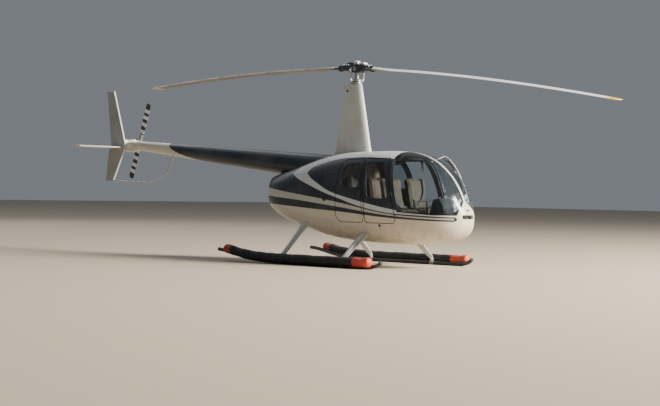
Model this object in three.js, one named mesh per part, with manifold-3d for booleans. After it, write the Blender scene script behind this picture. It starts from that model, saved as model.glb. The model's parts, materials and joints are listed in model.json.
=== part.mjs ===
import * as THREE from 'three';
import { mergeVertices } from 'three/addons/utils/BufferGeometryUtils.js';
import Module from 'manifold-3d';

const wasm = await Module();
wasm.setup();

// Light four-seat piston helicopter on skids, with floats packed on the skids.
// Millimetres. X runs to the nose, Y to the left side, Z up. The rotor shaft stands at
// x = y = 0, and heights are waterlines: the ground is at groundWaterline.

// Overall sizes
const rotorRadius = 5030;
const rotorChord = 254;
const rotorHeadHeight = 3210;
const rotorTilt = 2.7; // degrees that the teetering rotor leans towards the nose
const bladeDroop = 400; // how far a tip hangs below the root's line
const droopPower = 1.7;
const tailRotorRadius = 737;
const tailRotorCentre = new THREE.Vector3(-5890, 380, 2106);
const tailRotorLean = 19.6; // degrees forward of upright
const skidHalfTread = 1090;
const skidTubeRadius = 31;
const floatRadius = 78;
const shaftToBoxCentre = 640; // the shaft stands this far ahead of the middle of the length
const groundWaterline = 55;

// Walls and gaps
const wall = 34;
const paneThickness = 5;
const paneDepth = 3; // a pane's outer face lies this far under the skin
const screenDepth = 1; // the same for the windscreen
const stripThickness = 22; // of the strip between the windscreen's panes
const lensThickness = 10;
const coneWall = 30;
const seam = 0.3; // between fixed pieces that touch
const pinGap = 1; // round the teeter pin
const doorGap = { front: 13, rear: 11 };
const sweep = 1400; // cutting prisms reach this far to each side

// Doors
const doorOpen = 92; // degrees that the left front door stands open
const doorSkin = 13; // the skin runs to the door's edge, the frame behind it stops short
const doorFrameStep = 16;
const frontHinge = { x: 1420, y: 620, z: 850, leanAft: 16, leanIn: 0 };
const rearHinge = { x: 770, y: 652, z: 850, leanAft: 8, leanIn: 1 };
const hingeSpacing = 375; // between the two hinges of a door, along the line
const knuckle = { radius: 8, half: 20, end: 46, gap: 0.4 };
const hingeArm = { thickness: 6, footFrom: 44, footTo: 72, depth: 30 };

// Fuselage: x, underside, top, half width, height of the widest line
const hull = [
  [2345, 790, 872, 60, 832],
  [2322, 712, 960, 146, 836],
  [2262, 626, 1092, 240, 842],
  [2150, 540, 1306, 350, 852],
  [1970, 474, 1520, 455, 872],
  [1700, 432, 1716, 552, 898],
  [1350, 420, 1838, 614, 925],
  [950, 420, 1872, 640, 950],
  [500, 430, 1870, 638, 968],
  [50, 456, 1856, 622, 988],
  [-400, 520, 1800, 592, 1020],
  [-800, 620, 1702, 548, 1062],
  [-1150, 702, 1606, 508, 1105],
  [-1450, 802, 1534, 428, 1155],
  [-1660, 900, 1480, 330, 1200],
];
const hullPower = { upper: 2.8, lower: 3.1 };
const hullStepsPerRow = 1;
const hullRingPoints = 24;
const noseFrom = 1400; // ahead of this the inner skin also steps back from the nose

// Materials
const paint = (name, color, roughness = 0.4, metalness = 0) => {
  const material = new THREE.MeshStandardMaterial({ color, roughness, metalness });
  material.name = name;
  return material;
};
const cream = paint('cream_paint', 0xe2d8c2, 0.35);
const slate = paint('slate_paint', 0x273240, 0.35);
const silver = paint('silver_paint', 0xaab2ba, 0.35);
const glass = paint('tinted_acrylic', 0x6f7a80, 0.08);
const steel = paint('bare_metal', 0x8f959a, 0.4, 0.9);
const black = paint('black_paint', 0x17181b, 0.5);
const rubber = paint('float_cover', 0x1c1f22, 0.7);
const leather = paint('seat_leather', 0x4a4a4c, 0.65);
const trim = paint('interior_trim', 0x3a3c40, 0.8);
const iron = paint('engine_casting', 0x4d4f52, 0.6, 0.6);

const helicopter = new THREE.Group();
helicopter.position.set(shaftToBoxCentre, 0, -groundWaterline);

const add = (name, geometry, material) => {
  const mesh = new THREE.Mesh(geometry, material);
  mesh.name = name;
  helicopter.add(mesh);
  return mesh;
};

// Closed geometry: one vertex per corner, no empty triangles, faces outwards
const sealed = (source) => {
  const bare = source.clone();
  bare.deleteAttribute('normal');
  bare.deleteAttribute('uv');
  const merged = mergeVertices(bare, 1e-3);
  const at = merged.attributes.position;
  const index = merged.index.array;
  const a = new THREE.Vector3();
  const b = new THREE.Vector3();
  const c = new THREE.Vector3();
  const kept = [];
  let volume = 0;
  for (let i = 0; i < index.length; i += 3) {
    const [p, q, r] = [index[i], index[i + 1], index[i + 2]];
    if (p === q || q === r || r === p) continue;
    kept.push(p, q, r);
    a.fromBufferAttribute(at, p);
    b.fromBufferAttribute(at, q);
    c.fromBufferAttribute(at, r);
    volume += a.dot(b.cross(c));
  }
  if (volume < 0) kept.reverse();
  merged.setIndex(kept);
  return merged;
};

const solid = (source) => {
  const geometry = sealed(source);
  const vertProperties = new Float32Array(geometry.attributes.position.array);
  const triVerts = new Uint32Array(geometry.index.array);
  return new wasm.Manifold(new wasm.Mesh({ numProp: 3, vertProperties, triVerts }));
};

const geometryOf = (manifold) => {
  const mesh = manifold.getMesh();
  const geometry = new THREE.BufferGeometry();
  geometry.setAttribute('position', new THREE.BufferAttribute(mesh.vertProperties, 3));
  geometry.setIndex(new THREE.BufferAttribute(mesh.triVerts, 1));
  geometry.computeVertexNormals();
  return geometry;
};

const union = (...parts) => parts.reduce((whole, part) => whole.add(part));

// A closed skin through rings of points, with a fan at each end
const loft = (rings) => {
  const count = rings[0].length;
  const corners = rings.flat();
  const faces = [];
  for (let i = 0; i + 1 < rings.length; i++) {
    for (let j = 0; j < count; j++) {
      const k = (j + 1) % count;
      const [a, b] = [i * count + j, i * count + k];
      faces.push(a, b, b + count, a, b + count, a + count);
    }
  }
  for (const first of [0, (rings.length - 1) * count]) {
    const middle = new THREE.Vector3();
    for (let j = 0; j < count; j++) middle.add(corners[first + j]);
    corners.push(middle.divideScalar(count));
    for (let j = 0; j < count; j++) {
      const pair = [first + j, first + ((j + 1) % count)];
      if (first === 0) pair.reverse();
      faces.push(corners.length - 1, ...pair);
    }
  }
  const geometry = new THREE.BufferGeometry().setFromPoints(corners);
  geometry.setIndex(faces);
  return geometry;
};

// A flat outline with rounded corners
const outline = (points, round) => {
  const shape = new THREE.Shape();
  const corner = points.map(([x, y]) => new THREE.Vector2(x, y));
  corner.forEach((here, i) => {
    const before = corner[(i + corner.length - 1) % corner.length];
    const after = corner[(i + 1) % corner.length];
    const reach = Math.min(round, here.distanceTo(before) * 0.48, here.distanceTo(after) * 0.48);
    const into = here.clone().add(before.clone().sub(here).setLength(reach));
    const out = here.clone().add(after.clone().sub(here).setLength(reach));
    if (i === 0) shape.moveTo(into.x, into.y);
    else shape.lineTo(into.x, into.y);
    shape.quadraticCurveTo(here.x, here.y, out.x, out.y);
  });
  shape.closePath();
  return shape;
};

// An outline seen from the side (x, z), extruded from y0 to y1
const sidePrism = (points, y0, y1, round = 1, curveSegments = 3) => {
  const shape = outline(points, round);
  const depth = y1 - y0;
  const geometry = new THREE.ExtrudeGeometry(shape, { depth, bevelEnabled: false, curveSegments });
  return geometry.rotateX(Math.PI / 2).translate(0, y1, 0);
};

const block = (x0, x1, y0, y1, z0, z1) =>
  new THREE.BoxGeometry(x1 - x0, y1 - y0, z1 - z0).translate((x0 + x1) / 2, (y0 + y1) / 2, (z0 + z1) / 2);

const disc = (radius, sides = 24) => {
  const shape = new THREE.Shape();
  for (let i = 0; i < sides; i++) {
    const angle = (i / sides) * Math.PI * 2;
    const [x, y] = [radius * Math.cos(angle), radius * Math.sin(angle)];
    if (i === 0) shape.moveTo(x, y);
    else shape.lineTo(x, y);
  }
  return shape;
};

const tube = (points, radius, sides = 10, steps = 16) => {
  const path = new THREE.CatmullRomCurve3(points.map((p) => new THREE.Vector3(...p)));
  return new THREE.ExtrudeGeometry(disc(radius, sides), { extrudePath: path, steps });
};

// A straight round bar between two points
const bar = (from, to, r0, r1 = r0, sides = 16) => {
  const start = new THREE.Vector3(...from);
  const end = new THREE.Vector3(...to);
  const length = start.distanceTo(end);
  const turn = new THREE.Quaternion().setFromUnitVectors(
    new THREE.Vector3(0, 1, 0),
    end.clone().sub(start).normalize(),
  );
  return new THREE.CylinderGeometry(r1, r0, length, sides)
    .translate(0, length / 2, 0)
    .applyQuaternion(turn)
    .translate(...start);
};

// Fuselage skin at a given inset from the outer surface
const hullRing = (x, low, high, half, widest) => {
  const ring = [];
  for (let i = 0; i < hullRingPoints; i++) {
    const angle = (i / hullRingPoints) * Math.PI * 2;
    const [c, s] = [Math.cos(angle), Math.sin(angle)];
    const power = 2 / (s > 0 ? hullPower.upper : hullPower.lower);
    const reach = s > 0 ? high - widest : widest - low;
    const y = half * Math.sign(c) * Math.abs(c) ** power;
    const z = widest + reach * Math.sign(s) * Math.abs(s) ** power;
    ring.push(new THREE.Vector3(x, y, z));
  }
  return ring;
};

const hullCurve = (column) =>
  new THREE.CatmullRomCurve3(
    hull.map((row) => new THREE.Vector3(row[0], row[column], 0)),
    false,
    'catmullrom',
    0.5,
  );
const hullCurves = [1, 2, 3, 4].map(hullCurve);

const hullSolid = (inset, openAft = 0) => {
  const rings = [];
  const steps = (hull.length - 1) * hullStepsPerRow;
  for (let i = 0; i <= steps; i++) {
    const at = hullCurves.map((curve) => curve.getPoint(i / steps));
    const [low, high, half, widest] = at.map((p) => p.y);
    const nose = THREE.MathUtils.clamp((at[0].x - noseFrom) / (hull[0][0] - noseFrom), 0, 1);
    const x = at[0].x - inset * nose * 1.1;
    const least = Math.max(half - inset, half * 0.35);
    const shrink = Math.min(inset, (high - low) * 0.3);
    rings.push(hullRing(x, low + shrink, high - shrink, least, widest));
  }
  if (openAft > 0) {
    const last = rings[rings.length - 1];
    rings.push(last.map((p) => new THREE.Vector3(p.x - openAft, p.y, p.z)));
  }
  return solid(loft(rings));
};

const outer = hullSolid(0);
const inner = hullSolid(wall, 200);
const shell = outer.subtract(inner);
const clearOfHull = hullSolid(-seam, 200);

// Side outlines (x, z). The windscreen's edge runs from the door post forward along the sill.
const windscreenEdge = [[1424, 925], [1218, 1690], [1190, 1745], [1180, 1960], [2600, 1960], [2600, 888], [1990, 885]];
// The nose panel between the two panes, seen from ahead (y, z)
const nosePanelEdge = [
  [-222, 700], [222, 700], [210, 888], [169, 959], [90, 1029], [25, 1102],
  [-25, 1102], [-90, 1029], [-169, 959], [-210, 888],
];
const frontDoorEdge = [[812, 752], [672, 1745], [1128, 1745], [1350, 978], [1396, 812], [1372, 752]];
const rearDoorEdge = [[170, 830], [150, 1260], [196, 1718], [616, 1742], [756, 752], [240, 752]];
const frontWindowEdge = [[822, 1122], [714, 1690], [1098, 1690], [1262, 1116]];
const rearWindowEdge = [[226, 1330], [268, 1650], [572, 1690], [648, 1296], [330, 1262]];

const grown = (points, by) => {
  const flat = points.map(([x, z]) => new THREE.Vector2(x, z));
  const turned = THREE.ShapeUtils.area(flat) > 0 ? 1 : -1;
  return flat.map((here, i) => {
    const before = flat[(i + flat.length - 1) % flat.length];
    const after = flat[(i + 1) % flat.length];
    const n1 = new THREE.Vector2(here.y - before.y, before.x - here.x).normalize();
    const n2 = new THREE.Vector2(after.y - here.y, here.x - after.x).normalize();
    const half = n1.clone().add(n2).normalize();
    const out = half.multiplyScalar((turned * by) / Math.max(half.dot(n1), 0.5));
    return [here.x + out.x, here.y + out.y];
  });
};

const cut = (points, y0, y1, round, by = 0) => solid(sidePrism(grown(points, by), y0, y1, round));
const box = (...sides) => solid(block(...sides));
const rightHalf = box(-4000, 4000, -sweep, -seam / 2, 0, 4000);
const leftHalf = box(-4000, 4000, seam / 2, sweep, 0, 4000);
const halves = { right: rightHalf, left: leftHalf };

const hingeLine = (hinge, sign) => {
  const up = new THREE.Vector3(
    -Math.tan(THREE.MathUtils.degToRad(hinge.leanAft)),
    -sign * Math.tan(THREE.MathUtils.degToRad(hinge.leanIn)),
    1,
  ).normalize();
  return { point: new THREE.Vector3(hinge.x, sign * hinge.y, hinge.z), axis: up.multiplyScalar(-sign) };
};
// A door's two hinges: the door's knuckle with its arm stands on the body's knuckle
const hingePieces = (hinge, sign) => {
  const { point, axis } = hingeLine(hinge, sign);
  const up = axis.clone().multiplyScalar(-sign);
  const out = new THREE.Vector3(0, sign, 0).addScaledVector(up, -sign * up.y).normalize();
  const aft = up.clone().cross(out).multiplyScalar(sign);
  const pieces = { door: [], body: [] };
  for (const along of [0, hingeSpacing]) {
    const middle = point.clone().addScaledVector(up, along);
    const at = (distance) => middle.clone().addScaledVector(up, distance).toArray();
    const plate = (aft0, aft1, in0, in1, up0, up1) => {
      const geometry = block(aft0, aft1, -in1, -in0, up0, up1);
      geometry.applyMatrix4(new THREE.Matrix4().makeBasis(aft, out, up).setPosition(middle));
      return solid(geometry);
    };
    const { radius, half, end, gap } = knuckle;
    pieces.door.push(
      solid(bar(at(-half), at(half), radius, radius, 8)),
      plate(0, hingeArm.footTo, -hingeArm.thickness / 2, hingeArm.thickness / 2, -half, half),
      plate(hingeArm.footFrom, hingeArm.footTo, 0, hingeArm.depth, -half, half),
    );
    pieces.body.push(
      solid(bar(at(-end), at(-half - gap), radius, radius, 8)),
      plate(-radius, radius, 0, hingeArm.depth, -end, -half - gap),
    );
  }
  return { door: union(...pieces.door), body: union(...pieces.body) };
};

// Cuts made in the nose from ahead
const noseReach = { from: 2050, depth: 700 };
const aheadCut = (points, round) => {
  const { from, depth } = noseReach;
  const geometry = new THREE.ExtrudeGeometry(outline(points, round), { depth, bevelEnabled: false, curveSegments: 4 });
  return solid(geometry.rotateX(Math.PI / 2).rotateZ(Math.PI / 2).translate(from, 0, 0));
};
const nosePanelRound = 6;
const windscreenRound = 8;
const windscreenZone = (by = 0) =>
  cut(windscreenEdge, -sweep, sweep, windscreenRound, by).subtract(aheadCut(grown(nosePanelEdge, -by), nosePanelRound));

// Cabin shell: tub below the sills and in the nose, roof with the posts above
const firewallAt = 100;
const tubEdge = [
  [firewallAt, 200], [2600, 200], [2600, 1200], [1600, 1200], [1424, 925], [1330, 925], [1330, 741], [firewallAt, 741],
];
const windscreenHole = windscreenZone(seam);
const doorHoles = union(
  cut(frontDoorEdge, -sweep, sweep, 40, doorGap.front),
  cut(rearDoorEdge, -sweep, sweep, 60, doorGap.rear),
);
const doorHinges = [frontHinge, rearHinge].map((hinge) => [-1, 1].map((sign) => hingePieces(hinge, sign)));
const bodyKnuckles = union(...doorHinges.flat().map((pieces) => pieces.body));
const cabinShell = shell
  .intersect(box(firewallAt, 2600, -sweep, sweep, 0, 3000))
  .subtract(windscreenHole)
  .subtract(doorHoles)
  .add(bodyKnuckles);
const tubRegion = cut(tubEdge, -sweep, sweep, 1);

// Landing gear: a tube across under the floor, with a flat fairing down each side
const gearFrames = [
  // name, x, height of the cross tube, y and z where the fairing leaves the belly, its chord there
  ['front', 737, 562, 583, 560, 245],
  ['rear', -593, 735, 553, 670, 190],
];
const legFoot = { y: 1040, z: 190, chord: 116 };
const gearTubeRadius = 27;
const fairingThickness = 46;
const fairingSection = (chord, thickness) => {
  const points = [];
  for (let i = 0; i < 12; i++) {
    const angle = (i / 12) * Math.PI * 2;
    const along = Math.cos(angle);
    points.push([(along * chord) / 2 - chord * 0.06, (Math.sin(angle) * thickness * (0.72 + 0.28 * along)) / 2]);
  }
  return points;
};
const gearLeg = (x, side, topY, topZ, chord) => {
  const top = new THREE.Vector3(x, side * (topY - 60), topZ + 40);
  const foot = new THREE.Vector3(x, side * legFoot.y, legFoot.z);
  const down = foot.clone().sub(top).normalize();
  const across = new THREE.Vector3(1, 0, 0).cross(down).normalize();
  const rings = [
    [top, chord * 1.1],
    [top.clone().lerp(foot, 0.3), (chord + legFoot.chord) * 0.47],
    [foot, legFoot.chord],
  ].map(([centre, width]) =>
    fairingSection(width, fairingThickness).map(([u, v]) =>
      centre.clone().add(new THREE.Vector3(u, 0, 0)).addScaledVector(across, v)),
  );
  return solid(loft(rings));
};
const gearTube = (x, tubeZ, topY, topZ, radius) => {
  const half = [
    [1085, 112], [1072, 150], [legFoot.y - 20, legFoot.z + 14], [topY, topZ + 2], [topY - 70, tubeZ], [0, tubeZ],
  ];
  const points = [
    ...half.map(([y, z]) => [x, -y, z]),
    ...half.slice(0, -1).reverse().map(([y, z]) => [x, y, z]),
  ];
  return solid(tube(points, radius, 8, 20));
};
const gear = gearFrames.map(([name, x, tubeZ, topY, topZ, chord]) => {
  const legs = union(gearLeg(x, -1, topY, topZ, chord), gearLeg(x, 1, topY, topZ, chord)).subtract(clearOfHull);
  return {
    name,
    solid: legs.add(gearTube(x, tubeZ, topY, topZ, gearTubeRadius)),
    hole: gearTube(x, tubeZ, topY, topZ, gearTubeRadius + seam),
  };
});
const gearHoles = union(...gear.map((frame) => frame.hole));

// Landing light window and the air slot above it, cut in the nose from ahead
const lampWindow = { z: 866, halfWidth: 128, halfHeight: 32 };
const airSlot = { z: 966, halfWidth: 54, halfHeight: 13 };
const noseCut = ({ z, halfWidth, halfHeight }, by = 0) => {
  const [y1, z1] = [halfWidth + by, halfHeight + by];
  return aheadCut([[-y1, z - z1], [y1, z - z1], [y1, z + z1], [-y1, z + z1]], halfHeight * 0.9);
};

const tub = cabinShell
  .intersect(tubRegion)
  .subtract(gearHoles)
  .subtract(noseCut(lampWindow, seam))
  .subtract(noseCut(airSlot));
add('cabin_tub', geometryOf(tub), cream);
const roofSplit = cut(tubEdge, -sweep, sweep, 1, seam);
const roofZone = box(firewallAt, windscreenEdge[0][0] + 30, -sweep, sweep, 0, 3000);
add('cabin_roof', geometryOf(cabinShell.intersect(roofZone).subtract(roofSplit)), silver);
add('landing_light_lens', geometryOf(outer.subtract(hullSolid(lensThickness)).intersect(noseCut(lampWindow))), glass);
for (const frame of gear) add(`landing_gear_${frame.name}`, geometryOf(frame.solid), silver);

// Windscreen: two panes and the strip between them
const stripHalf = 21;
const screenShell = hullSolid(screenDepth).subtract(hullSolid(screenDepth + paneThickness));
const screen = screenShell.intersect(windscreenZone());
const stripZone = box(0, 3000, -stripHalf, stripHalf, 0, 3000);
const strip = outer.subtract(hullSolid(stripThickness)).intersect(windscreenZone());
add('windscreen_strip', geometryOf(strip.intersect(stripZone)), silver);
const besideStrip = {
  right: box(0, 3000, -sweep, -stripHalf - seam, 0, 3000),
  left: box(0, 3000, stripHalf + seam, sweep, 0, 3000),
};
for (const side of ['right', 'left']) {
  add(`windscreen_${side}`, geometryOf(screen.intersect(besideStrip[side])), glass);
}

// Doors, each with its pane. Only the left front door stands open.
const swing = (geometry, line, degrees) => {
  const turn = new THREE.Matrix4().makeRotationAxis(line.axis, THREE.MathUtils.degToRad(degrees));
  return geometry
    .translate(-line.point.x, -line.point.y, -line.point.z)
    .applyMatrix4(turn)
    .translate(line.point.x, line.point.y, line.point.z);
};
const skinLayer = outer.subtract(hullSolid(doorSkin));
const paneShell = hullSolid(paneDepth).subtract(hullSolid(paneDepth + paneThickness));
const doors = [
  // name, outline, corner radius, window, hinge, side sign, degrees open
  ['front_right', frontDoorEdge, 40, frontWindowEdge, frontHinge, -1, 0],
  ['front_left', frontDoorEdge, 40, frontWindowEdge, frontHinge, 1, doorOpen],
  ['rear_right', rearDoorEdge, 60, rearWindowEdge, rearHinge, -1, 0],
  ['rear_left', rearDoorEdge, 60, rearWindowEdge, rearHinge, 1, 0],
];
const windowRound = 70;
for (const [name, edge, round, windowEdge, hinge, sign, open] of doors) {
  const half = halves[sign < 0 ? 'right' : 'left'];
  const skin = skinLayer.intersect(cut(edge, -sweep, sweep, round));
  const frame = shell.intersect(cut(edge, -sweep, sweep, round, -doorFrameStep));
  const door = skin
    .add(frame)
    .intersect(half)
    .subtract(cut(windowEdge, -sweep, sweep, windowRound))
    .add(hingePieces(hinge, sign).door);
  const pane = paneShell.intersect(cut(windowEdge, -sweep, sweep, windowRound, -seam)).intersect(half);
  const line = hingeLine(hinge, sign);
  add(`door_${name}`, swing(geometryOf(door), line, open), slate);
  add(`door_pane_${name}`, swing(geometryOf(pane), line, open), glass);
}

// Cabin inside
const insideTub = hullSolid(wall + seam);
const floorTop = 640;
const floorPlate = insideTub.intersect(box(firewallAt + 20, 2060, -sweep, sweep, floorTop - 34, floorTop));
add('cabin_floor', geometryOf(floorPlate), trim);
const firewall = insideTub.intersect(box(firewallAt - 16, firewallAt + 16, -sweep, sweep, 300, 2500));
add('firewall', geometryOf(firewall), trim);
const seatBoxes = [
  // name, x from, x to, half width, top
  ['front', 1030, 1480, 552, 862],
  ['rear', firewallAt + 16 + seam, 690, 545, 880],
];
const insideDoors = hullSolid(wall + 8);
for (const [name, x0, x1, half, top] of seatBoxes) {
  const seatBox = box(x0, x1, -half, half, floorTop + seam, top).intersect(insideDoors);
  add(`seat_box_${name}`, geometryOf(seatBox), trim);
}
const seatSides = {
  front: [[1472, 862 + seam], [1486, 945], [1142, 962], [1040, 1490], [950, 1478], [1044, 862 + seam]],
  rear: [[682, 880 + seam], [694, 968], [330, 985], [232, 1500], [140, 1490], [140, 880 + seam]],
};
const seatWidth = { front: [45, 535], rear: [35, 455] };
for (const [row, side] of Object.entries(seatSides)) {
  for (const [name, sign] of [['right', -1], ['left', 1]]) {
    const [y0, y1] = seatWidth[row].map((y) => sign * y).sort((a, b) => a - b);
    add(`seat_${row}_${name}`, sidePrism(side, y0, y1, 34, 3), leather);
  }
}
const consoleSide = [
  [1610, floorTop + seam], [1668, 880], [1748, 1118], [1868, 1150], [1952, 1010], [1965, floorTop + seam],
];
add('instrument_console', sidePrism(consoleSide, -135, 135, 24, 3), trim);
const cyclic = union(
  solid(bar([1545, 0, floorTop + 1.3], [1520, 0, 1105], 19, 15, 12)),
  solid(bar([1520, -300, 1085], [1520, 300, 1125], 13, 13, 10)),
  solid(bar([1524, -296, 965], [1510, -300, 1120], 19, 19, 10)),
  solid(bar([1524, 296, 1005], [1510, 300, 1160], 19, 19, 10)),
);
add('cyclic_stick', geometryOf(cyclic), black);
const pedalBar = solid(bar([1985, -345, floorTop + 16], [1985, 345, floorTop + 16], 15.5, 15.5, 10));
const pedals = [-300, -130, 130, 300].map((y) =>
  union(
    solid(bar([1985, y, floorTop + 16], [2010, y, 800], 9, 9, 8)),
    solid(block(2000, 2012, y - 42, y + 42, 770, 860)),
  ));
add('rudder_pedals', geometryOf(union(pedalBar, ...pedals)), black);

// Tail cone: a tapered tube, open at both ends
const coneFront = { x: -250, z: 1569, radius: 234 };
const coneEnd = { x: -5430, z: 2004, radius: 84 };
const coneShape = (by, longer) =>
  solid(bar([coneFront.x + longer, 0, coneFront.z], [coneEnd.x - longer, 0, coneEnd.z],
    coneFront.radius + by, coneEnd.radius + by, 32));
const coneHole = coneShape(seam, seam);
add('tail_cone', geometryOf(coneShape(0, 0).subtract(coneShape(-coneWall, 1))), slate);

// Engine cowls
const cowlShell = shell
  .intersect(box(-1655, firewallAt - seam, -sweep, sweep, 0, 3000))
  .subtract(coneHole)
  .subtract(gearHoles);
const cowlTopEdge = [[400, 2300], [400, 1575], [-700, 1500], [-1300, 1430], [-2000, 1385], [-2000, 2300]];
const cowlBellyEdge = [[400, 200], [400, 741], [-550, 800], [-1150, 925], [-2000, 1120], [-2000, 200]];
const exhaustRoute = [[-740, 120, 812], [-742, 120, 768], [-780, 120, 722], [-865, 120, 672], [-960, 120, 585]];
const exhaustRadius = 38;
add('cowl_top', geometryOf(cowlShell.intersect(cut(cowlTopEdge, -sweep, sweep, 1))), silver);
const belly = cowlShell.intersect(cut(cowlBellyEdge, -sweep, sweep, 1));
add('cowl_belly', geometryOf(belly.subtract(solid(tube(exhaustRoute, exhaustRadius + 6, 12, 8)))), cream);
const cowlSides = cowlShell
  .subtract(cut(cowlTopEdge, -sweep, sweep, 1, seam))
  .subtract(cut(cowlBellyEdge, -sweep, sweep, 1, seam));
for (const side of ['right', 'left']) {
  add(`cowl_${side}`, geometryOf(cowlSides.intersect(halves[side])), slate);
}

// Engine, its mount tubes to the firewall, cooling fan housing and exhaust
const engine = { x0: -900, x1: -200, half: 290, z0: 800, z1: 1130 };
const mountTube = { y: 230, radius: 16, heights: [880, 1070] };
const engineMounts = [-1, 1].flatMap((side) => mountTube.heights.map((z) =>
  solid(bar([engine.x1 - 60, side * mountTube.y, z], [firewallAt - 16 - seam, side * mountTube.y, z],
    mountTube.radius, mountTube.radius, 10))));
const engineBlock = union(
  box(engine.x0, engine.x1, -engine.half, engine.half, engine.z0, engine.z1),
  ...engineMounts,
);
add('engine_block', geometryOf(engineBlock), iron);
const underEngine = box(engine.x0 - 50, engine.x1, -engine.half, engine.half, 0, engine.z0 - seam);
add('exhaust_pipe', geometryOf(solid(tube(exhaustRoute, exhaustRadius, 12, 8)).intersect(underEngine)), steel);
const fan = { x: -1290, z: 1165, radius: 235, depth: 190 };
const fanShaftEnd = engine.x0 - seam - fan.x;
const fanProfile = [
  // radius, distance ahead of the fan's middle: shaft, back wall, rim, mouth and hub
  [0, fanShaftEnd], [60, fanShaftEnd], [60, 40], [200, 60], [fan.radius, 20],
  [fan.radius, 30 - fan.depth], [fan.radius - 30, -fan.depth], [150, -fan.depth],
  [135, 30 - fan.depth], [fan.radius - 60, 60 - fan.depth], [fan.radius - 60, -20], [70, 0],
  [60, 20 - fan.depth], [0, -10 - fan.depth],
].map(([r, along]) => new THREE.Vector2(r, along));
const fanHousing = new THREE.LatheGeometry(fanProfile, 18).rotateZ(-Math.PI / 2).translate(fan.x, 0, fan.z);
add('fan_housing', geometryOf(solid(fanHousing)), silver);

// Mast fairing: z, leading edge x, trailing edge x, half thickness
const fairingRows = [
  [1660, 470, -540, 150],
  [1850, 340, -470, 108],
  [1930, 318, -440, 98],
  [2960, 104, -270, 66],
];
const fairingRing = ([z, front, back, half]) => {
  const ring = [];
  for (let i = 0; i < 20; i++) {
    const angle = (i / 20) * Math.PI * 2;
    const c = Math.cos(angle);
    const y = half * 1.12 * Math.sin(angle) * (0.72 + 0.28 * c);
    ring.push(new THREE.Vector3((front + back) / 2 + ((front - back) / 2) * c, y, z));
  }
  return ring;
};
const mastRadius = 36;
const boreFoot = 2640;
const fairing = solid(loft(fairingRows.map(fairingRing)))
  .subtract(clearOfHull)
  .subtract(coneHole)
  .subtract(solid(bar([0, 0, boreFoot], [0, 0, 3100], mastRadius + 8, mastRadius + 8, 16)));
add('mast_fairing', geometryOf(fairing), silver);

// Swashplate: the lower ring stays, the upper ring turns with the mast
const ringBetween = (r0, r1, z0, z1) => new THREE.LatheGeometry(
  [[r0, z0], [r1, z0], [r1, z1], [r0, z1], [r0, z0]].map(([r, z]) => new THREE.Vector2(r, z)), 16,
).rotateX(Math.PI / 2);
const fairingTop = 2960;
add('swashplate_lower', ringBetween(mastRadius + 6, 92, fairingTop + seam, fairingTop + 34), steel);

// Main rotor: mast with the teeter pin, upper swashplate with links, hub and blades
const trunnion = { radius: 38, half: 74 };
const mastShaft = union(
  solid(bar([0, 0, boreFoot + seam], [0, 0, rotorHeadHeight], mastRadius, mastRadius, 16)),
  solid(bar([0, -trunnion.half, rotorHeadHeight], [0, trunnion.half, rotorHeadHeight], trunnion.radius, trunnion.radius, 16)),
);
add('rotor_mast', geometryOf(mastShaft), steel);
const upperRing = { z0: 3000, z1: 3030, radius: 86 };
const linkTop = 3172;
const links = [1, -1].map((end) =>
  union(
    solid(block(-14 + end * 20, 14 + end * 20, end > 0 ? 60 : -140, end > 0 ? 140 : -60, upperRing.z0 + 2, upperRing.z1 - 2)),
    solid(bar([end * 20, end * 126, upperRing.z0 + 10], [end * 20, end * 138, linkTop], 9, 9, 8)),
  ));
add('swashplate_upper', geometryOf(union(solid(ringBetween(mastRadius + seam, upperRing.radius, upperRing.z0, upperRing.z1)), ...links)), steel);

const rotor = new THREE.Group();
rotor.position.z = rotorHeadHeight;
rotor.rotation.y = THREE.MathUtils.degToRad(rotorTilt);
helicopter.add(rotor);
const hubHalf = 300;
const gripFrom = hubHalf + seam;
const hub = union(
  box(-hubHalf, hubHalf, -62, 62, -42, 52),
  box(-120, 120, -trunnion.half + 12, trunnion.half - 12, -70, 70),
  solid(bar([0, 0, 60], [0, 0, 124], 46, 34, 16)),
).subtract(
  union(
    solid(bar([0, -120, 0], [0, 120, 0], trunnion.radius + pinGap, trunnion.radius + pinGap, 16)),
    box(-mastRadius - 10, mastRadius + 10, -mastRadius - 6, mastRadius + 6, -200, 0),
  ),
);
const hubMesh = new THREE.Mesh(geometryOf(hub), black);
hubMesh.name = 'rotor_hub';
rotor.add(hubMesh);

// Blade stations: distance from the shaft, chord, thickness, pitch in degrees
const bladeRows = [
  [gripFrom, 108, 84, 0],
  [430, 110, 76, 2],
  [640, 180, 44, 6],
  [860, rotorChord, 30, 8],
  [2000, rotorChord, 30, 6.5],
  [3200, rotorChord, 30, 5],
  [4300, rotorChord, 30, 3.5],
  [4980, rotorChord, 29, 2.5],
  [rotorRadius, rotorChord * 0.8, 16, 2.5],
];
const aerofoil = (chord, thickness) => {
  const points = [];
  for (let i = 0; i < 12; i++) {
    const angle = (i / 12) * Math.PI * 2;
    const u = Math.cos(angle);
    const depth = Math.sin(angle) * (0.62 + 0.38 * u) * 1.1;
    points.push([(u * 0.5 - 0.22) * chord + chord * 0.02, (depth * thickness) / 2]);
  }
  return points;
};
const bladeShape = () => {
  const rings = bladeRows.map(([r, chord, thickness, pitch]) => {
    const droop = -bladeDroop * (r / rotorRadius) ** droopPower;
    const turn = THREE.MathUtils.degToRad(pitch);
    return aerofoil(chord, thickness).map(([y, z]) =>
      new THREE.Vector3(r, y * Math.cos(turn) - z * Math.sin(turn), droop + y * Math.sin(turn) + z * Math.cos(turn)));
  });
  return loft(rings);
};
for (const [name, turn] of [['forward', 0], ['aft', Math.PI]]) {
  const blade = new THREE.Mesh(sealed(bladeShape()), black);
  blade.name = `rotor_blade_${name}`;
  blade.rotation.z = turn;
  rotor.add(blade);
}

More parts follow.
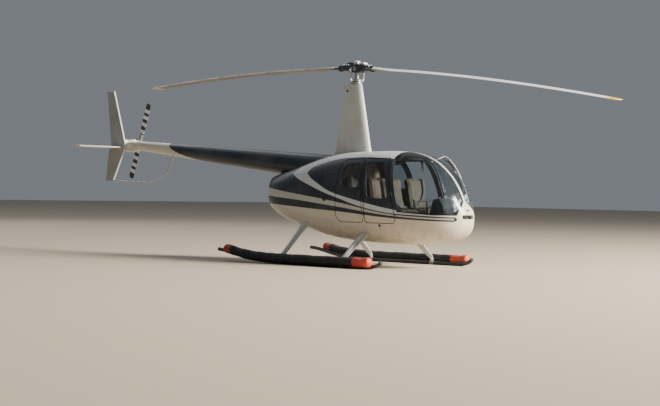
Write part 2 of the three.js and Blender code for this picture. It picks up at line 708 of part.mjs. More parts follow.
// Tail fin on the right of the tail gearbox, with the stabiliser on its right side
const finRight = -95;
const finLeft = -60;
const finEdge = [
  [-6096, 3030], [-6300, 3035], [-6161, 2041], [-6224, 1929], [-6308, 1345], [-6090, 1346], [-5741, 2000],
];
const fin = cut(finEdge, finRight, finLeft, 14);
const finHole = cut(finEdge, finRight - seam, finLeft + seam, 14, seam);
add('tail_fin', geometryOf(fin), silver);
const stabiliser = { tip: -1050, front: -5840, back: -6120, z: 1976, thick: 48 };
const stabiliserRing = (y) => aerofoil(stabiliser.front - stabiliser.back, stabiliser.thick).map(([u, v]) =>
  new THREE.Vector3((stabiliser.front + stabiliser.back) / 2 + u + 50, y, stabiliser.z + v));
add('stabiliser', sealed(loft([finRight - seam, stabiliser.tip].map(stabiliserRing))), cream);

// Tail gearbox with the output sleeve to the left
const gearboxProfile = [
  [0, coneEnd.x - seam], [74, coneEnd.x - seam], [96, coneEnd.x - 60], [98, coneEnd.x - 250],
  [70, coneEnd.x - 440], [0, coneEnd.x - 560],
].map(([r, x]) => new THREE.Vector2(r, x));
const gearboxBody = solid(new THREE.LatheGeometry(gearboxProfile, 18).rotateZ(-Math.PI / 2).translate(0, 0, coneEnd.z - 19));
const sleeveTo = 255;
const outputShaft = { radius: 24, bore: 24.8, inside: 30 };
const shaftBore = bar(
  [tailRotorCentre.x, sleeveTo - outputShaft.inside - 5, tailRotorCentre.z],
  [tailRotorCentre.x, sleeveTo + 20, tailRotorCentre.z],
  outputShaft.bore, outputShaft.bore, 18,
);
const gearbox = gearboxBody
  .add(solid(bar([tailRotorCentre.x, -20, tailRotorCentre.z - 40], [tailRotorCentre.x, sleeveTo, tailRotorCentre.z], 62, 34, 18)))
  .subtract(finHole)
  .subtract(coneHole)
  .subtract(solid(shaftBore))
  .subtract(cut(finEdge, finRight - 400, finRight, 14, seam).add(box(-6400, -5500, -300, finLeft + seam, 1500, 2500)));
add('tail_gearbox', geometryOf(gearbox), cream);

// Tail rotor: hub and two blades
const tailRotor = new THREE.Group();
tailRotor.position.copy(tailRotorCentre);
tailRotor.rotation.y = THREE.MathUtils.degToRad(tailRotorLean);
helicopter.add(tailRotor);
const tailHub = union(
  solid(bar([0, sleeveTo - outputShaft.inside - tailRotorCentre.y, 0], [0, 50, 0],
    outputShaft.radius, outputShaft.radius, 18)),
  box(-34, 34, -22, 22, -120, 120),
);
const tailHubMesh = new THREE.Mesh(geometryOf(tailHub), steel);
tailHubMesh.name = 'tail_rotor_hub';
tailRotor.add(tailHubMesh);
const tailBladeRows = [
  [120 + seam, 70, 30],
  [230, 132, 16],
  [tailRotorRadius - 40, 132, 14],
  [tailRotorRadius, 84, 8],
];
for (const [name, turn] of [['upper', 0], ['lower', Math.PI]]) {
  const rings = tailBladeRows.map(([r, chord, thickness]) =>
    aerofoil(chord, thickness).map(([u, v]) => new THREE.Vector3(u + chord * 0.2, v, r)));
  const blade = new THREE.Mesh(sealed(loft(rings)), black);
  blade.name = `tail_rotor_blade_${name}`;
  blade.rotation.y = turn;
  tailRotor.add(blade);
}

// Guard tube from the tail cone's underside to the foot of the fin
const guardY = (finRight + finLeft) / 2;
const guardRoute = [
  [-4380, guardY, 1872], [-4424, guardY, 1740], [-4502, guardY, 1585], [-4643, guardY, 1458],
  [-4893, guardY, 1363], [-5261, guardY, 1335], [-5700, guardY, 1338], [-6120, guardY, 1362],
];
const guard = solid(tube(guardRoute, 14, 8, 14)).subtract(coneHole).subtract(finHole);
add('tail_rotor_guard', geometryOf(guard), steel);

// Skid tubes and the floats packed on them: x, height of the tube's middle
const skidRoute = [
  [1565, 173], [1500, 125], [1400, 96], [1240, 86], [700, 86], [0, 86], [-720, 86],
  [-1050, 100], [-1420, 138], [-1860, 222], [-2030, 240],
];
const floatOutboard = 85;
const floatAbove = 68;
const floatRoute = [[1370, 93], ...skidRoute.filter(([x]) => x < 1300 && x > -1900)];
const legs = union(...gear.map((frame) => frame.solid));
for (const [name, sign] of [['right', -1], ['left', 1]]) {
  const route = skidRoute.map(([x, z]) => [x, sign * skidHalfTread, z]);
  const skid = solid(tube(route, skidTubeRadius, 10, 18));
  const grip = solid(tube(route, skidTubeRadius + seam, 10, 18));
  add(`skid_tube_${name}`, geometryOf(skid.subtract(gearHoles)), black);
  const bag = floatRoute.map(([x, z]) => [x, sign * (skidHalfTread + floatOutboard), z + floatAbove]);
  const float = solid(tube(bag, floatRadius, 12, 12)).subtract(grip).subtract(gearHoles);
  add(`float_pack_${name}`, geometryOf(float.subtract(legs)), rubber);
}

export default helicopter;
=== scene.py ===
import json
import math

import bmesh
import bpy
from mathutils import Matrix, Vector

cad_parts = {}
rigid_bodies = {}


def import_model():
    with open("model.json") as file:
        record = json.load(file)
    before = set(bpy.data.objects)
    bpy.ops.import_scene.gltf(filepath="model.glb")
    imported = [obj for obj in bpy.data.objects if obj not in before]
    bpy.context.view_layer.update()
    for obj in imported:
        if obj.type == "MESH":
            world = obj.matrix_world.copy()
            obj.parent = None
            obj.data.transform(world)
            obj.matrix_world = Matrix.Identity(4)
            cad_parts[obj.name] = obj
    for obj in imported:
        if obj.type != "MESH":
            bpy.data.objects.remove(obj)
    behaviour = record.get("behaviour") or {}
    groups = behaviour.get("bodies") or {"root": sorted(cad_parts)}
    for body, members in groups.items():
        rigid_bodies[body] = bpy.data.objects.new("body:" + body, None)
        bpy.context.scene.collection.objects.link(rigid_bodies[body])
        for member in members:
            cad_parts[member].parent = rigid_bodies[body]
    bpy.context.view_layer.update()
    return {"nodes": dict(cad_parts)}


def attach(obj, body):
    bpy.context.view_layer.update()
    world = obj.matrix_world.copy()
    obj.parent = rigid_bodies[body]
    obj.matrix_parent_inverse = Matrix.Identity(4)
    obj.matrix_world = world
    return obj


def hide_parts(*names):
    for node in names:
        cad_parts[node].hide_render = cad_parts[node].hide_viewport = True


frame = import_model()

# Shapes are drawn in millimetres from the rotor shaft, X to the nose, Y to the left side and Z as
# waterlines. A piece is set down in metres by this matrix when it is finished.
fromDrawing = Matrix.Translation((0.64, 0, -0.055)) @ Matrix.Scale(0.001, 4)
sides = {"Right": -1, "Left": 1}
seam = 0.3      # gap between two pieces that touch


# Places and objects
def at(*place):
    return Matrix.Translation(place)


def turning(angle, axis):
    return Matrix.Rotation(angle, 4, axis)


def frameOf(x, y, z, place):
    # A matrix with its axes along x, y and z, at a place
    return Matrix.Translation(place) @ Matrix((x, y, z)).transposed().to_4x4()


def newObject(name, data):
    made = bpy.data.objects.new(name, data)
    bpy.context.scene.collection.objects.link(made)
    return made


def asObject(shape, name="blank"):
    mesh = bpy.data.meshes.new(name)
    shape.to_mesh(mesh)
    shape.free()
    return newObject(name, mesh)


def drop(*made):
    for old in made:
        data = old.data
        bpy.data.objects.remove(old)
        bpy.data.batch_remove([data])


def asShape(made):
    shape = bmesh.new()
    shape.from_mesh(made.data)
    drop(made)
    return shape


def applied(made):
    # The object again, with its modifiers or its curve made a mesh
    bpy.context.view_layer.update()
    mesh = bpy.data.meshes.new_from_object(made.evaluated_get(bpy.context.evaluated_depsgraph_get()))
    drop(made)
    return newObject("blank", mesh)


# Camera, from the fitted photograph
cameraSet = {"place": (17.972, -18.811, 1.175), "target": (0.087, 0.0, 0.976), "roll": 0.966, "lens": 86.4,
             "sensor": 36, "sight": 300}


def addCamera():
    place = Vector(cameraSet["place"])
    ahead = (Vector(cameraSet["target"]) - place).normalized()
    right = ahead.cross(Vector((0, 0, 1))).normalized()
    up = right.cross(ahead)
    roll = math.radians(cameraSet["roll"])
    rolledRight = right * math.cos(roll) + up * math.sin(roll)
    rolledUp = up * math.cos(roll) - right * math.sin(roll)
    lens = bpy.data.cameras.new("camera")
    lens.lens, lens.sensor_width, lens.clip_end = (cameraSet[key] for key in ("lens", "sensor", "sight"))
    camera = newObject("camera", lens)
    camera.matrix_world = frameOf(rolledRight, rolledUp, -ahead, place)
    bpy.context.scene.camera = camera


studio = {
    "sky": (0.78, 0.84, 0.93), "skyStrength": 0.24,
    "floor": (0.50, 0.43, 0.335), "floorRough": 0.9, "floorHalf": 90,
    # name, place, size, watts, colour
    "lamps": [
        ("noseLamp", (24, 10, 13), 9, 33000, (1.0, 0.93, 0.82)),
        ("cameraLamp", (4, -26, 20), 24, 200, (0.97, 0.97, 1.0)),
        ("tailLamp", (-24, 6, 16), 18, 1500, (0.90, 0.95, 1.0)),
    ],
}


def addStudio():
    world = bpy.data.worlds.new("world")
    world.use_nodes = True
    setSockets(world.node_tree.nodes["Background"].inputs,
               {"Color": studio["sky"], "Strength": studio["skyStrength"]})
    bpy.context.scene.world = world
    for name, place, size, watts, colour in studio["lamps"]:
        light = bpy.data.lights.new(name, "AREA")
        light.size, light.energy, light.color = size, watts, colour
        lamp = newObject(name, light)
        lamp.location = place
        lamp.rotation_euler = (Vector((0, 0, 1)) - Vector(place)).to_track_quat("-Z", "Y").to_euler()
    ground = bmesh.new()
    bmesh.ops.create_grid(ground, x_segments=2, y_segments=2, size=studio["floorHalf"])
    floor = asObject(ground, "floor")
    material, _, shader = newMaterial("floorFinish")
    setSockets(shader.inputs, {"Base Color": studio["floor"], "Roughness": studio["floorRough"]})
    floor.data.materials.append(material)


# Nodes: each helper works in the tree of the socket that it is given
def newMaterial(name):
    material = bpy.data.materials.new(name)
    material.use_nodes = True
    return material, material.node_tree, material.node_tree.nodes["Principled BSDF"]


def setSockets(sockets, values):
    for name, value in values.items():
        socket = sockets[name]
        if isinstance(value, bpy.types.NodeSocket):
            value.id_data.links.new(value, socket)
        elif socket.type == "RGBA" and len(value) == 3:
            socket.default_value = (*value, 1)
        else:
            socket.default_value = value


def addNode(tree, kind, inputs=None, **settings):
    made = tree.nodes.new("ShaderNode" + kind)
    for name, value in settings.items():
        setattr(made, name, value)
    setSockets(made.inputs, inputs or {})
    return made


def calc(operation, *values):
    tree = next(value.id_data for value in values if isinstance(value, bpy.types.NodeSocket))
    return addNode(tree, "Math", dict(enumerate(values)), operation=operation).outputs[0]


def plus(first, second):
    return calc("ADD", first, second)


def minus(first, second):
    return calc("SUBTRACT", first, second)


def times(first, second):
    return calc("MULTIPLY", first, second)


def mixColour(amount, low, high):
    return addNode(amount.id_data, "Mix", {0: amount, 6: low, 7: high}, data_type="RGBA").outputs[2]


def fade(value, *limits):
    # From one value to another between two limits, 0 to 1 where nothing else is said
    return addNode(value.id_data, "MapRange", dict(enumerate((value, *limits))),
                   interpolation_type="SMOOTHSTEP").outputs[0]


def noise(where, scale, detail, stretch=None):
    if stretch:
        where = addNode(where.id_data, "Mapping", {"Vector": where, "Scale": stretch}).outputs[0]
    return addNode(where.id_data, "TexNoise", {"Vector": where, "Scale": scale, "Detail": detail}).outputs["Fac"]


def bump(height, distance, under=None):
    inputs = {"Height": height, "Distance": distance, "Strength": 1.0}
    if under is not None:
        inputs["Normal"] = under
    return addNode(height.id_data, "Bump", inputs).outputs[0]


finishDetail = {
    "patchEdge": (0.38, 0.68), "patchDetail": 5.0, "grainDetail": 2.0, "grainEdge": (0.35, 0.75), "grainShare": 0.25,
    "grainShade": 0.6, "dustTop": 0.65, "dust": (0.42, 0.34, 0.24), "poreWidth": 0.12, "coatRough": 0.08,
    "patchRough": 0.6, "grainRough": 0.4, "uneven": (0.2, 0.8),
}


def makeFinish(name, main, worn, rough, metal=0.0, coat=0.0, patch=3.0, grain=240.0, depth=0.0002, stretch=None,
               cells=0.0, cellDepth=0.0, sheen=0.0, dusty=0.0, mirror=0.5):
    # main and worn trade places in soft patches, with fine grain over them; cells are leather or cast pores
    detail = finishDetail
    material, tree, shader = newMaterial(name)
    where = addNode(tree, "TexCoord").outputs["Object"]
    patches = fade(noise(where, patch, detail["patchDetail"], stretch), *detail["patchEdge"])
    fine = noise(where, grain, detail["grainDetail"], stretch)
    tone = mixColour(patches, main, worn)
    tone = mixColour(fade(fine, *detail["grainEdge"], 0.0, detail["grainShare"]), tone,
                     tuple(part * detail["grainShade"] for part in main))
    if dusty:
        low = fade(addNode(tree, "SeparateXYZ", {"Vector": where}).outputs["Z"], detail["dustTop"], 0.0)
        tone = mixColour(times(low, times(patches, dusty)), tone, detail["dust"])
    normal = bump(fine, depth)
    if cells:
        pores = addNode(tree, "TexVoronoi", {"Vector": where, "Scale": cells}, feature="DISTANCE_TO_EDGE")
        normal = bump(fade(pores.outputs["Distance"], 0.0, detail["poreWidth"]), cellDepth, normal)
    uneven = plus(times(patches, detail["patchRough"]), times(fine, detail["grainRough"]))
    setSockets(shader.inputs, {
        "Base Color": tone, "Roughness": fade(uneven, *detail["uneven"], *rough), "Normal": normal, "Metallic": metal,
        "Coat Weight": coat, "Coat Roughness": detail["coatRough"], "Sheen Weight": sheen,
        "Specular IOR Level": mirror})
    return material


# Body paint: lines over the length in metres from the shaft, heights as waterlines
paintScheme = {
    "cream": (0.66, 0.605, 0.50), "slate": (0.012, 0.021, 0.033), "silver": (0.56, 0.60, 0.62),
    "band": (0.50, 0.50, 0.46), "dust": (0.36, 0.29, 0.20), "mottle": (0.30, 0.29, 0.27),
    "chip": (0.35, 0.34, 0.32),
    "swooshTop": [(-2.0, 1.40), (-1.10, 1.45), (-0.99, 1.511), (-0.90, 1.575), (-0.77, 1.640), (-0.55, 1.715),
                  (-0.39, 1.762), (-0.30, 1.86), (-0.22, 2.2), (3.0, 2.4)],
    "swooshFoot": [(-2.0, 1.62), (-1.10, 1.60), (-0.99, 1.511), (-0.81, 1.425), (-0.516, 1.33), (-0.136, 1.21),
                   (0.301, 1.096), (0.579, 1.022), (1.206, 0.915), (1.814, 0.879), (2.284, 0.861), (3.0, 0.84)],
    "windowTop": [(-2.0, 1.40), (-0.70, 1.45), (-0.60, 1.519), (-0.52, 1.60), (-0.3, 1.665), (0.08, 1.745),
                  (0.63, 1.768), (1.18, 1.742), (3.0, 1.742)],
    "windowFoot": [(-2.0, 1.62), (-0.70, 1.60), (-0.60, 1.519), (-0.50, 1.45), (-0.30, 1.355), (-0.006, 1.23),
                   (0.46, 1.12), (0.93, 1.03), (1.22, 0.98), (1.71, 0.916), (2.07, 0.90), (3.0, 0.88)],
    "bandTop": [(-2.0, 1.32), (-1.62, 1.27), (-0.892, 1.185), (-0.133, 1.099), (0.305, 1.039), (1.205, 0.899),
                (1.814, 0.856), (2.215, 0.842), (3.0, 0.84)],
    "bandFoot": [(-2.0, 1.17), (-1.612, 1.136), (-0.884, 1.087), (-0.127, 1.016), (0.309, 0.972), (1.204, 0.874),
                 (1.813, 0.832), (2.215, 0.818), (3.0, 0.81)],
    "creamTop": [(-2.0, 1.02), (-1.495, 1.001), (-0.887, 0.970), (-0.124, 0.927), (0.306, 0.904), (1.203, 0.836),
                 (1.813, 0.805), (2.215, 0.793), (3.0, 0.79)],
    "lineEnd": (2.29, 0.042), "bandEnd": (2.262, 0.03), "lineMiddle": 0.83, "noseFrom": 2.10, "edge": 0.0012,
    # the chart that the lines above are drawn in: its first length, its length and its height
    "chart": (-2.0, 5.0, 2.5),
    # the tail cone's break: place, slant with its middle height, curl with its middle height
    "break": (-4.26, 2.0, 1.86, 7.0, 1.93), "breakEdge": 0.002,
    "mottleShare": 0.10, "dustShare": 0.45, "dustHeights": (0.95, 0.42), "chipShare": 0.5, "chipEdge": (0.735, 0.76),
    # scale and detail of each noise, and the limits that it fades between
    "mottling": (2.2, 6.0), "mottleEdge": (0.35, 0.75), "dusting": (9.0, 6.0), "dustEdge": (0.42, 0.75),
    "chipping": (150.0, 2.0), "peeling": (320.0, 1.0), "waving": (3.5, 2.0), "roughEdge": (0.3, 0.7), "dustRough": 0.3,
    "rough": (0.32, 0.44), "peel": 0.00008, "wave": 0.0025, "coat": 0.15, "coatRough": 0.16, "mirror": 0.35,
}


def lineAlong(along, points):
    # A painted line's height over the length, as a curve node
    first, length, height = paintScheme["chart"]
    made = addNode(along.id_data, "FloatCurve", {"Value": calc("DIVIDE", plus(along, -first), length)})
    made.mapping.extend = "HORIZONTAL"
    curve = made.mapping.curves[0]
    while len(curve.points) < len(points):
        curve.points.new(0.5, 0.5)
    for point, (x, z) in zip(curve.points, points):
        point.location = ((x - first) / length, z / height)
        point.handle_type = "AUTO_CLAMPED"
    made.mapping.update()
    return times(made.outputs[0], height)


def makeBodyPaint(name, tailCone=False):
    paint = paintScheme
    cream, slate, line = (paint[key] for key in ("cream", "slate", "edge"))
    material, tree, shader = newMaterial(name)
    where = addNode(tree, "Attribute", attribute_name="paintAt").outputs["Vector"]
    parts = addNode(tree, "SeparateXYZ", {"Vector": where}).outputs
    along, height = parts["X"], parts["Z"]

    def above(name):
        return fade(minus(height, lineAlong(along, paint[name])), -line, line)

    def between(foot, top):
        return times(above(foot), minus(1.0, above(top)))

    def endsAt(limit, reach):
        # A rounded end at the nose
        off = calc("MINIMUM", calc("ABSOLUTE", calc("DIVIDE", minus(height, paint["lineMiddle"]), reach)), 1.0)
        return fade(plus(along, times(times(off, off), reach)), limit + line, limit - line)

    if tailCone:
        # Slate up to a slanting break, cream behind it
        place, slant, slantMiddle, curl, curlMiddle = paint["break"]
        slanted = plus(along, times(minus(height, slantMiddle), slant))
        bend = times(calc("POWER", calc("ABSOLUTE", minus(height, curlMiddle)), 2.0), -curl)
        tone = mixColour(fade(plus(slanted, bend), place - paint["breakEdge"], place + paint["breakEdge"]),
                         cream, slate)
    else:
        ahead = fade(along, paint["noseFrom"] - line, paint["noseFrom"] + line)
        tone = mixColour(times(above("creamTop"), endsAt(*paint["lineEnd"])), cream, slate)
        tone = mixColour(times(between("bandFoot", "bandTop"), endsAt(*paint["bandEnd"])), tone, paint["band"])
        tone = mixColour(between("swooshFoot", "swooshTop"), tone, paint["silver"])
        tone = mixColour(times(above("swooshFoot"), ahead), tone, cream)
        tone = mixColour(times(between("windowFoot", "windowTop"), minus(1.0, ahead)), tone, slate)
    # Faint mottling, road dust towards the belly, and small chips
    mottle = noise(where, *paint["mottling"])
    tone = mixColour(fade(mottle, *paint["mottleEdge"], 0.0, paint["mottleShare"]), tone, paint["mottle"])
    dust = times(fade(height, *paint["dustHeights"]), fade(noise(where, *paint["dusting"]), *paint["dustEdge"]))
    tone = mixColour(times(dust, paint["dustShare"]), tone, paint["dust"])
    chips = fade(noise(where, *paint["chipping"]), *paint["chipEdge"])
    tone = mixColour(times(chips, paint["chipShare"]), tone, paint["chip"])
    peel = bump(noise(where, *paint["peeling"]), paint["peel"])
    setSockets(shader.inputs, {
        "Base Color": tone, "Normal": bump(noise(where, *paint["waving"]), paint["wave"], peel),
        "Roughness": plus(fade(mottle, *paint["roughEdge"], *paint["rough"]), times(dust, paint["dustRough"])),
        "Coat Weight": paint["coat"], "Coat Roughness": paint["coatRough"], "Specular IOR Level": paint["mirror"]})
    return material


glass = {"dirt": (0.55, 0.57, 0.58), "dirtRough": (0.3, 0.8, 0.5, 0.8), "haze": (0.45, 0.85, 0.004, 0.024),
         "shine": 0.13, "mirror": (0.95, 0.97, 1.0), "index": 1.45, "wave": 0.0005, "waves": (6.0, 1.0),
         "marks": (14.0, 6.0, (1.0, 1.0, 3.0))}


def makeGlazing(name, tint):
    # Thin acrylic: mostly clear, tinted, with faint wiping marks, and a mirror at a slant on its outer side only
    material, tree, shader = newMaterial(name)
    where = addNode(tree, "TexCoord").outputs["Object"]
    marks = noise(where, *glass["marks"])
    setSockets(shader.inputs, {"Base Color": glass["dirt"], "Roughness": fade(marks, *glass["dirtRough"])})
    clear = addNode(tree, "BsdfTransparent", {"Color": tint})
    mirror = addNode(tree, "BsdfGlossy", {"Roughness": glass["shine"], "Color": glass["mirror"],
                                         "Normal": bump(noise(where, *glass["waves"]), glass["wave"])})
    dirty = addNode(tree, "MixShader", {0: fade(marks, *glass["haze"]), 1: clear.outputs[0],
                                       2: shader.outputs[0]})
    outer = minus(1.0, addNode(tree, "NewGeometry").outputs["Backfacing"])
    slant = addNode(tree, "Fresnel", {"IOR": glass["index"]}).outputs[0]
    shown = addNode(tree, "MixShader", {0: times(slant, outer), 1: dirty.outputs[0], 2: mirror.outputs[0]})
    setSockets(tree.nodes["Material Output"].inputs, {"Surface": shown.outputs[0]})
    return material


finishes = {
    # main colour, worn colour, least and most roughness, and what differs from plain paint
    "silverPaint": ((0.56, 0.58, 0.57), (0.48, 0.49, 0.47), (0.32, 0.45), dict(coat=0.15, dusty=0.3)),
    "greyPaint": ((0.36, 0.365, 0.36), (0.30, 0.305, 0.30), (0.36, 0.5), dict(coat=0.1, patch=2.0)),
    "creamPaint": ((0.74, 0.70, 0.60), (0.67, 0.62, 0.52), (0.32, 0.45), dict(coat=0.2, dusty=0.3)),
    "blackPaint": ((0.020, 0.021, 0.024), (0.045, 0.045, 0.047), (0.35, 0.55), dict(coat=0.2)),
    "bareMetal": ((0.52, 0.53, 0.54), (0.36, 0.36, 0.36), (0.28, 0.48),
                  dict(metal=1.0, patch=9.0, stretch=(1.0, 1.0, 6.0))),
    "darkMetal": ((0.16, 0.16, 0.17), (0.10, 0.10, 0.10), (0.4, 0.6), dict(metal=0.8, patch=7.0)),
    "blackRubber": ((0.018, 0.018, 0.019), (0.035, 0.034, 0.032), (0.6, 0.8), dict(depth=0.0004)),
    "trimPlastic": ((0.026, 0.028, 0.032), (0.040, 0.042, 0.045), (0.55, 0.75), dict(grain=600.0, depth=0.0003)),
    "carpet": ((0.025, 0.027, 0.032), (0.045, 0.046, 0.050), (0.9, 1.0), dict(grain=900.0, depth=0.003, sheen=0.3)),
    "castMetal": ((0.14, 0.14, 0.145), (0.22, 0.215, 0.20), (0.45, 0.7),
                  dict(metal=0.6, patch=6.0, grain=300.0, depth=0.0008, cells=90.0, cellDepth=0.0006)),
    "seatLeather": ((0.12, 0.094, 0.060), (0.090, 0.070, 0.045), (0.50, 0.68),
                    dict(patch=6.0, grain=500.0, cells=330.0, cellDepth=0.0005, mirror=0.3)),
    "rearTrim": ((0.21, 0.175, 0.12), (0.16, 0.13, 0.09), (0.8, 0.95),
                 dict(patch=4.0, grain=800.0, depth=0.0008, sheen=0.1)),
    "beltWebbing": ((0.085, 0.083, 0.080), (0.055, 0.055, 0.053), (0.75, 0.9),
                    dict(patch=8.0, grain=700.0, depth=0.0006, sheen=0.3)),
    "floatFabric": ((0.0075, 0.0085, 0.011), (0.014, 0.015, 0.018), (0.62, 0.8),
                    dict(patch=5.0, grain=900.0, depth=0.0006, sheen=0.02)),
    "orangeFabric": ((0.66, 0.062, 0.020), (0.42, 0.035, 0.016), (0.5, 0.7),
                     dict(patch=7.0, grain=900.0, depth=0.0006, sheen=0.03, dusty=0.15)),
    # the floats' rear ends: the front ends' orange made darker, as painted shade
    "redFabric": ((0.42, 0.032, 0.016), (0.26, 0.022, 0.014), (0.5, 0.7),
                  dict(patch=7.0, grain=900.0, depth=0.0006, sheen=0.03, dusty=0.15)),
    "bladeTop": ((0.80, 0.81, 0.80), (0.70, 0.70, 0.68), (0.3, 0.45), dict(coat=0.2, patch=1.2)),
    "bladeUnder": ((0.13, 0.125, 0.12), (0.19, 0.18, 0.17), (0.4, 0.6), dict(patch=1.2)),
    "tipYellow": ((0.80, 0.52, 0.03), (0.68, 0.45, 0.05), (0.3, 0.45), dict(coat=0.2)),
    "markWhite": ((0.80, 0.80, 0.78), (0.66, 0.66, 0.64), (0.3, 0.5), dict(coat=0.2)),
    "hubPaint": ((0.022, 0.032, 0.055), (0.05, 0.055, 0.065), (0.35, 0.55), dict(coat=0.2, patch=8.0)),
    "exhaustSteel": ((0.30, 0.24, 0.19), (0.16, 0.13, 0.12), (0.35, 0.6), dict(metal=1.0, patch=12.0)),
    "dialFace": ((0.012, 0.012, 0.013), (0.02, 0.02, 0.021), (0.3, 0.4), {}),
}
materials = {name: makeFinish(name, main, worn, rough, **more) for name, (main, worn, rough, more) in finishes.items()}
materials["bodyPaint"] = makeBodyPaint("bodyPaint")
materials["tailPaint"] = makeBodyPaint("tailPaint", tailCone=True)
materials["tintedAcrylic"] = makeGlazing("tintedAcrylic", (0.78, 0.82, 0.84))
materials["lampGlass"] = makeGlazing("lampGlass", (0.95, 0.96, 0.97))
print("materials ready")


# Shapes
def bevelled(shape, geom, offset, segments, affect="EDGES"):
    bmesh.ops.bevel(shape, geom=geom, offset=offset, offset_type="OFFSET", affect=affect, segments=segments,
                    profile=0.5, material=-1, clamp_overlap=True)
    return shape


def softRims(shape, offset, segments):
    # Rounds the two rims of a side prism
    rims = [line for line in shape.edges if abs(line.verts[0].co.y - line.verts[1].co.y) < 1]
    return bevelled(shape, rims, offset, segments)


def outward(shape):
    bmesh.ops.remove_doubles(shape, verts=shape.verts, dist=0.01)
    bmesh.ops.recalc_face_normals(shape, faces=shape.faces)
    return shape


def loft(rings):
    # One ring of edges, extruded from station to station and closed at both ends
    shape = bmesh.new()
    ring = [shape.verts.new(point) for point in rings[0]]
    count = len(ring)
    edges = [shape.edges.new((ring[i], ring[(i + 1) % count])) for i in range(count)]
    shape.faces.new(ring)
    for points in rings[1:]:
        made = bmesh.ops.extrude_edge_only(shape, edges=edges)["geom"]
        place = {corner: index for index, corner in enumerate(ring)}
        fresh = {}
        for corner in made:
            if isinstance(corner, bmesh.types.BMVert):
                fresh[next(place[other] for other in (edge.other_vert(corner) for edge in corner.link_edges)
                           if other in place)] = corner
        ring = [fresh[index] for index in range(count)]
        for corner, point in zip(ring, points):
            corner.co = point
        held = set(ring)
        edges = [edge for edge in made if isinstance(edge, bmesh.types.BMEdge) and set(edge.verts) <= held]
    shape.faces.new(ring)
    bmesh.ops.recalc_face_normals(shape, faces=shape.faces)
    return shape


def grown(points, by):
    # An outline moved outwards, its corners mitred
    flat = [Vector(point) for point in points]
    area = sum(a.x * b.y - a.y * b.x for a, b in zip(flat, flat[1:] + flat[:1]))
    side = by if area > 0 else -by
    outline = []
    for before, here, after in zip(flat[-1:] + flat[:-1], flat, flat[1:] + flat[:1]):
        into = (here - before).normalized()
        away = (after - here).normalized()
        first, second = Vector((into.y, -into.x)), Vector((away.y, -away.x))
        middle = (first + second).normalized()
        outline.append(here + middle * (side / max(middle.dot(first), 0.5)))
    return outline


def sidePrism(points, rounding=0.0, by=0.0, y0=-1400, y1=1400):
    # An outline seen from the side (x, z), run from y0 to y1
    shape = bmesh.new()
    shape.faces.new([shape.verts.new((point[0], y0, point[1])) for point in grown(points, by)])
    if rounding:
        bevelled(shape, shape.verts[:], rounding, 7, "VERTICES")
    made = bmesh.ops.extrude_face_region(shape, geom=shape.faces[:])["geom"]
    bmesh.ops.translate(shape, verts=[part for part in made if isinstance(part, bmesh.types.BMVert)],
                        vec=(0, y1 - y0, 0))
    bmesh.ops.recalc_face_normals(shape, faces=shape.faces)
    return shape


def block(x0, x1, y0, y1, z0, z1, edge=0.0, segments=3):
    shape = bmesh.new()
    bmesh.ops.create_cube(shape, size=1.0)
    bmesh.ops.scale(shape, verts=shape.verts, vec=(x1 - x0, y1 - y0, z1 - z0))
    bmesh.ops.translate(shape, verts=shape.verts, vec=((x0 + x1) / 2, (y0 + y1) / 2, (z0 + z1) / 2))
    return bevelled(shape, shape.edges[:], edge, segments) if edge else shape


def slab(x0, x1, z0=0, z1=3000):
    # A block as wide as any piece
    return block(x0, x1, -1400, 1400, z0, z1)


def bar(start, end, radius, endRadius=None, sides=24, edge=0.0):
    # A straight round bar between two points
    start, end = Vector(start), Vector(end)
    shape = bmesh.new()
    bmesh.ops.create_cone(shape, cap_ends=True, segments=sides, radius1=radius,
                          radius2=radius if endRadius is None else endRadius, depth=(end - start).length)
    if edge:
        bevelled(shape, [line for line in shape.edges if len({round(corner.co.z, 3) for corner in line.verts}) == 1],
                 edge, 2)
    turn = (end - start).to_track_quat("Z", "Y").to_matrix().to_4x4()
    return moved(shape, Matrix.Translation((start + end) / 2) @ turn)


def turned(profile, steps=48):
    # A profile of (radius, height) spun round Z, closed at the axis
    shape = bmesh.new()
    corners = [shape.verts.new((radius, 0, height)) for radius, height in profile]
    lines = [shape.edges.new(pair) for pair in zip(corners, corners[1:])]
    bmesh.ops.spin(shape, geom=corners + lines, cent=(0, 0, 0), axis=(0, 0, 1), angle=math.tau, steps=steps,
                   use_merge=True, use_duplicate=False)
    return outward(shape)


def sweptTube(points, radius, sides):
    # A round tube along a smooth line through the points, made from a curve
    curve = bpy.data.curves.new("route", "CURVE")
    curve.dimensions = "3D"
    curve.bevel_depth = radius
    curve.bevel_resolution = sides // 4 - 1
    curve.use_fill_caps = True
    curve.resolution_u = 10
    line = curve.splines.new("BEZIER")
    line.bezier_points.add(len(points) - 1)
    for knot, place in zip(line.bezier_points, points):
        knot.co = place
        knot.handle_left_type = knot.handle_right_type = "AUTO"
    return outward(asShape(applied(newObject("route", curve))))


def springPoint(points, step):
    # A place on the smooth line through the points, as a spring strip through them would lie
    index = min(int(step), len(points) - 2)
    part = step - index
    near, far = points[index], points[index + 1]
    before = points[index - 1] if index else near * 2 - far
    after = points[index + 2] if index + 2 < len(points) else far * 2 - near
    t0, t1 = (far - before) * 0.5, (after - near) * 0.5
    return (near * (2 * part ** 3 - 3 * part ** 2 + 1) + t0 * (part ** 3 - 2 * part ** 2 + part)
            + far * (3 * part ** 2 - 2 * part ** 3) + t1 * (part ** 3 - part ** 2))


def roundPlaces(count):
    # Cosine and sine of each of the places round a circle
    return [(math.cos(math.tau * index / count), math.sin(math.tau * index / count)) for index in range(count)]


def joined(*shapes):
    # One shape of several bodies
    whole = bmesh.new()
    for part in shapes:
        mesh = bpy.data.meshes.new("part")
        part.to_mesh(mesh)
        part.free()
        whole.from_mesh(mesh)
        bpy.data.meshes.remove(mesh)
    return whole


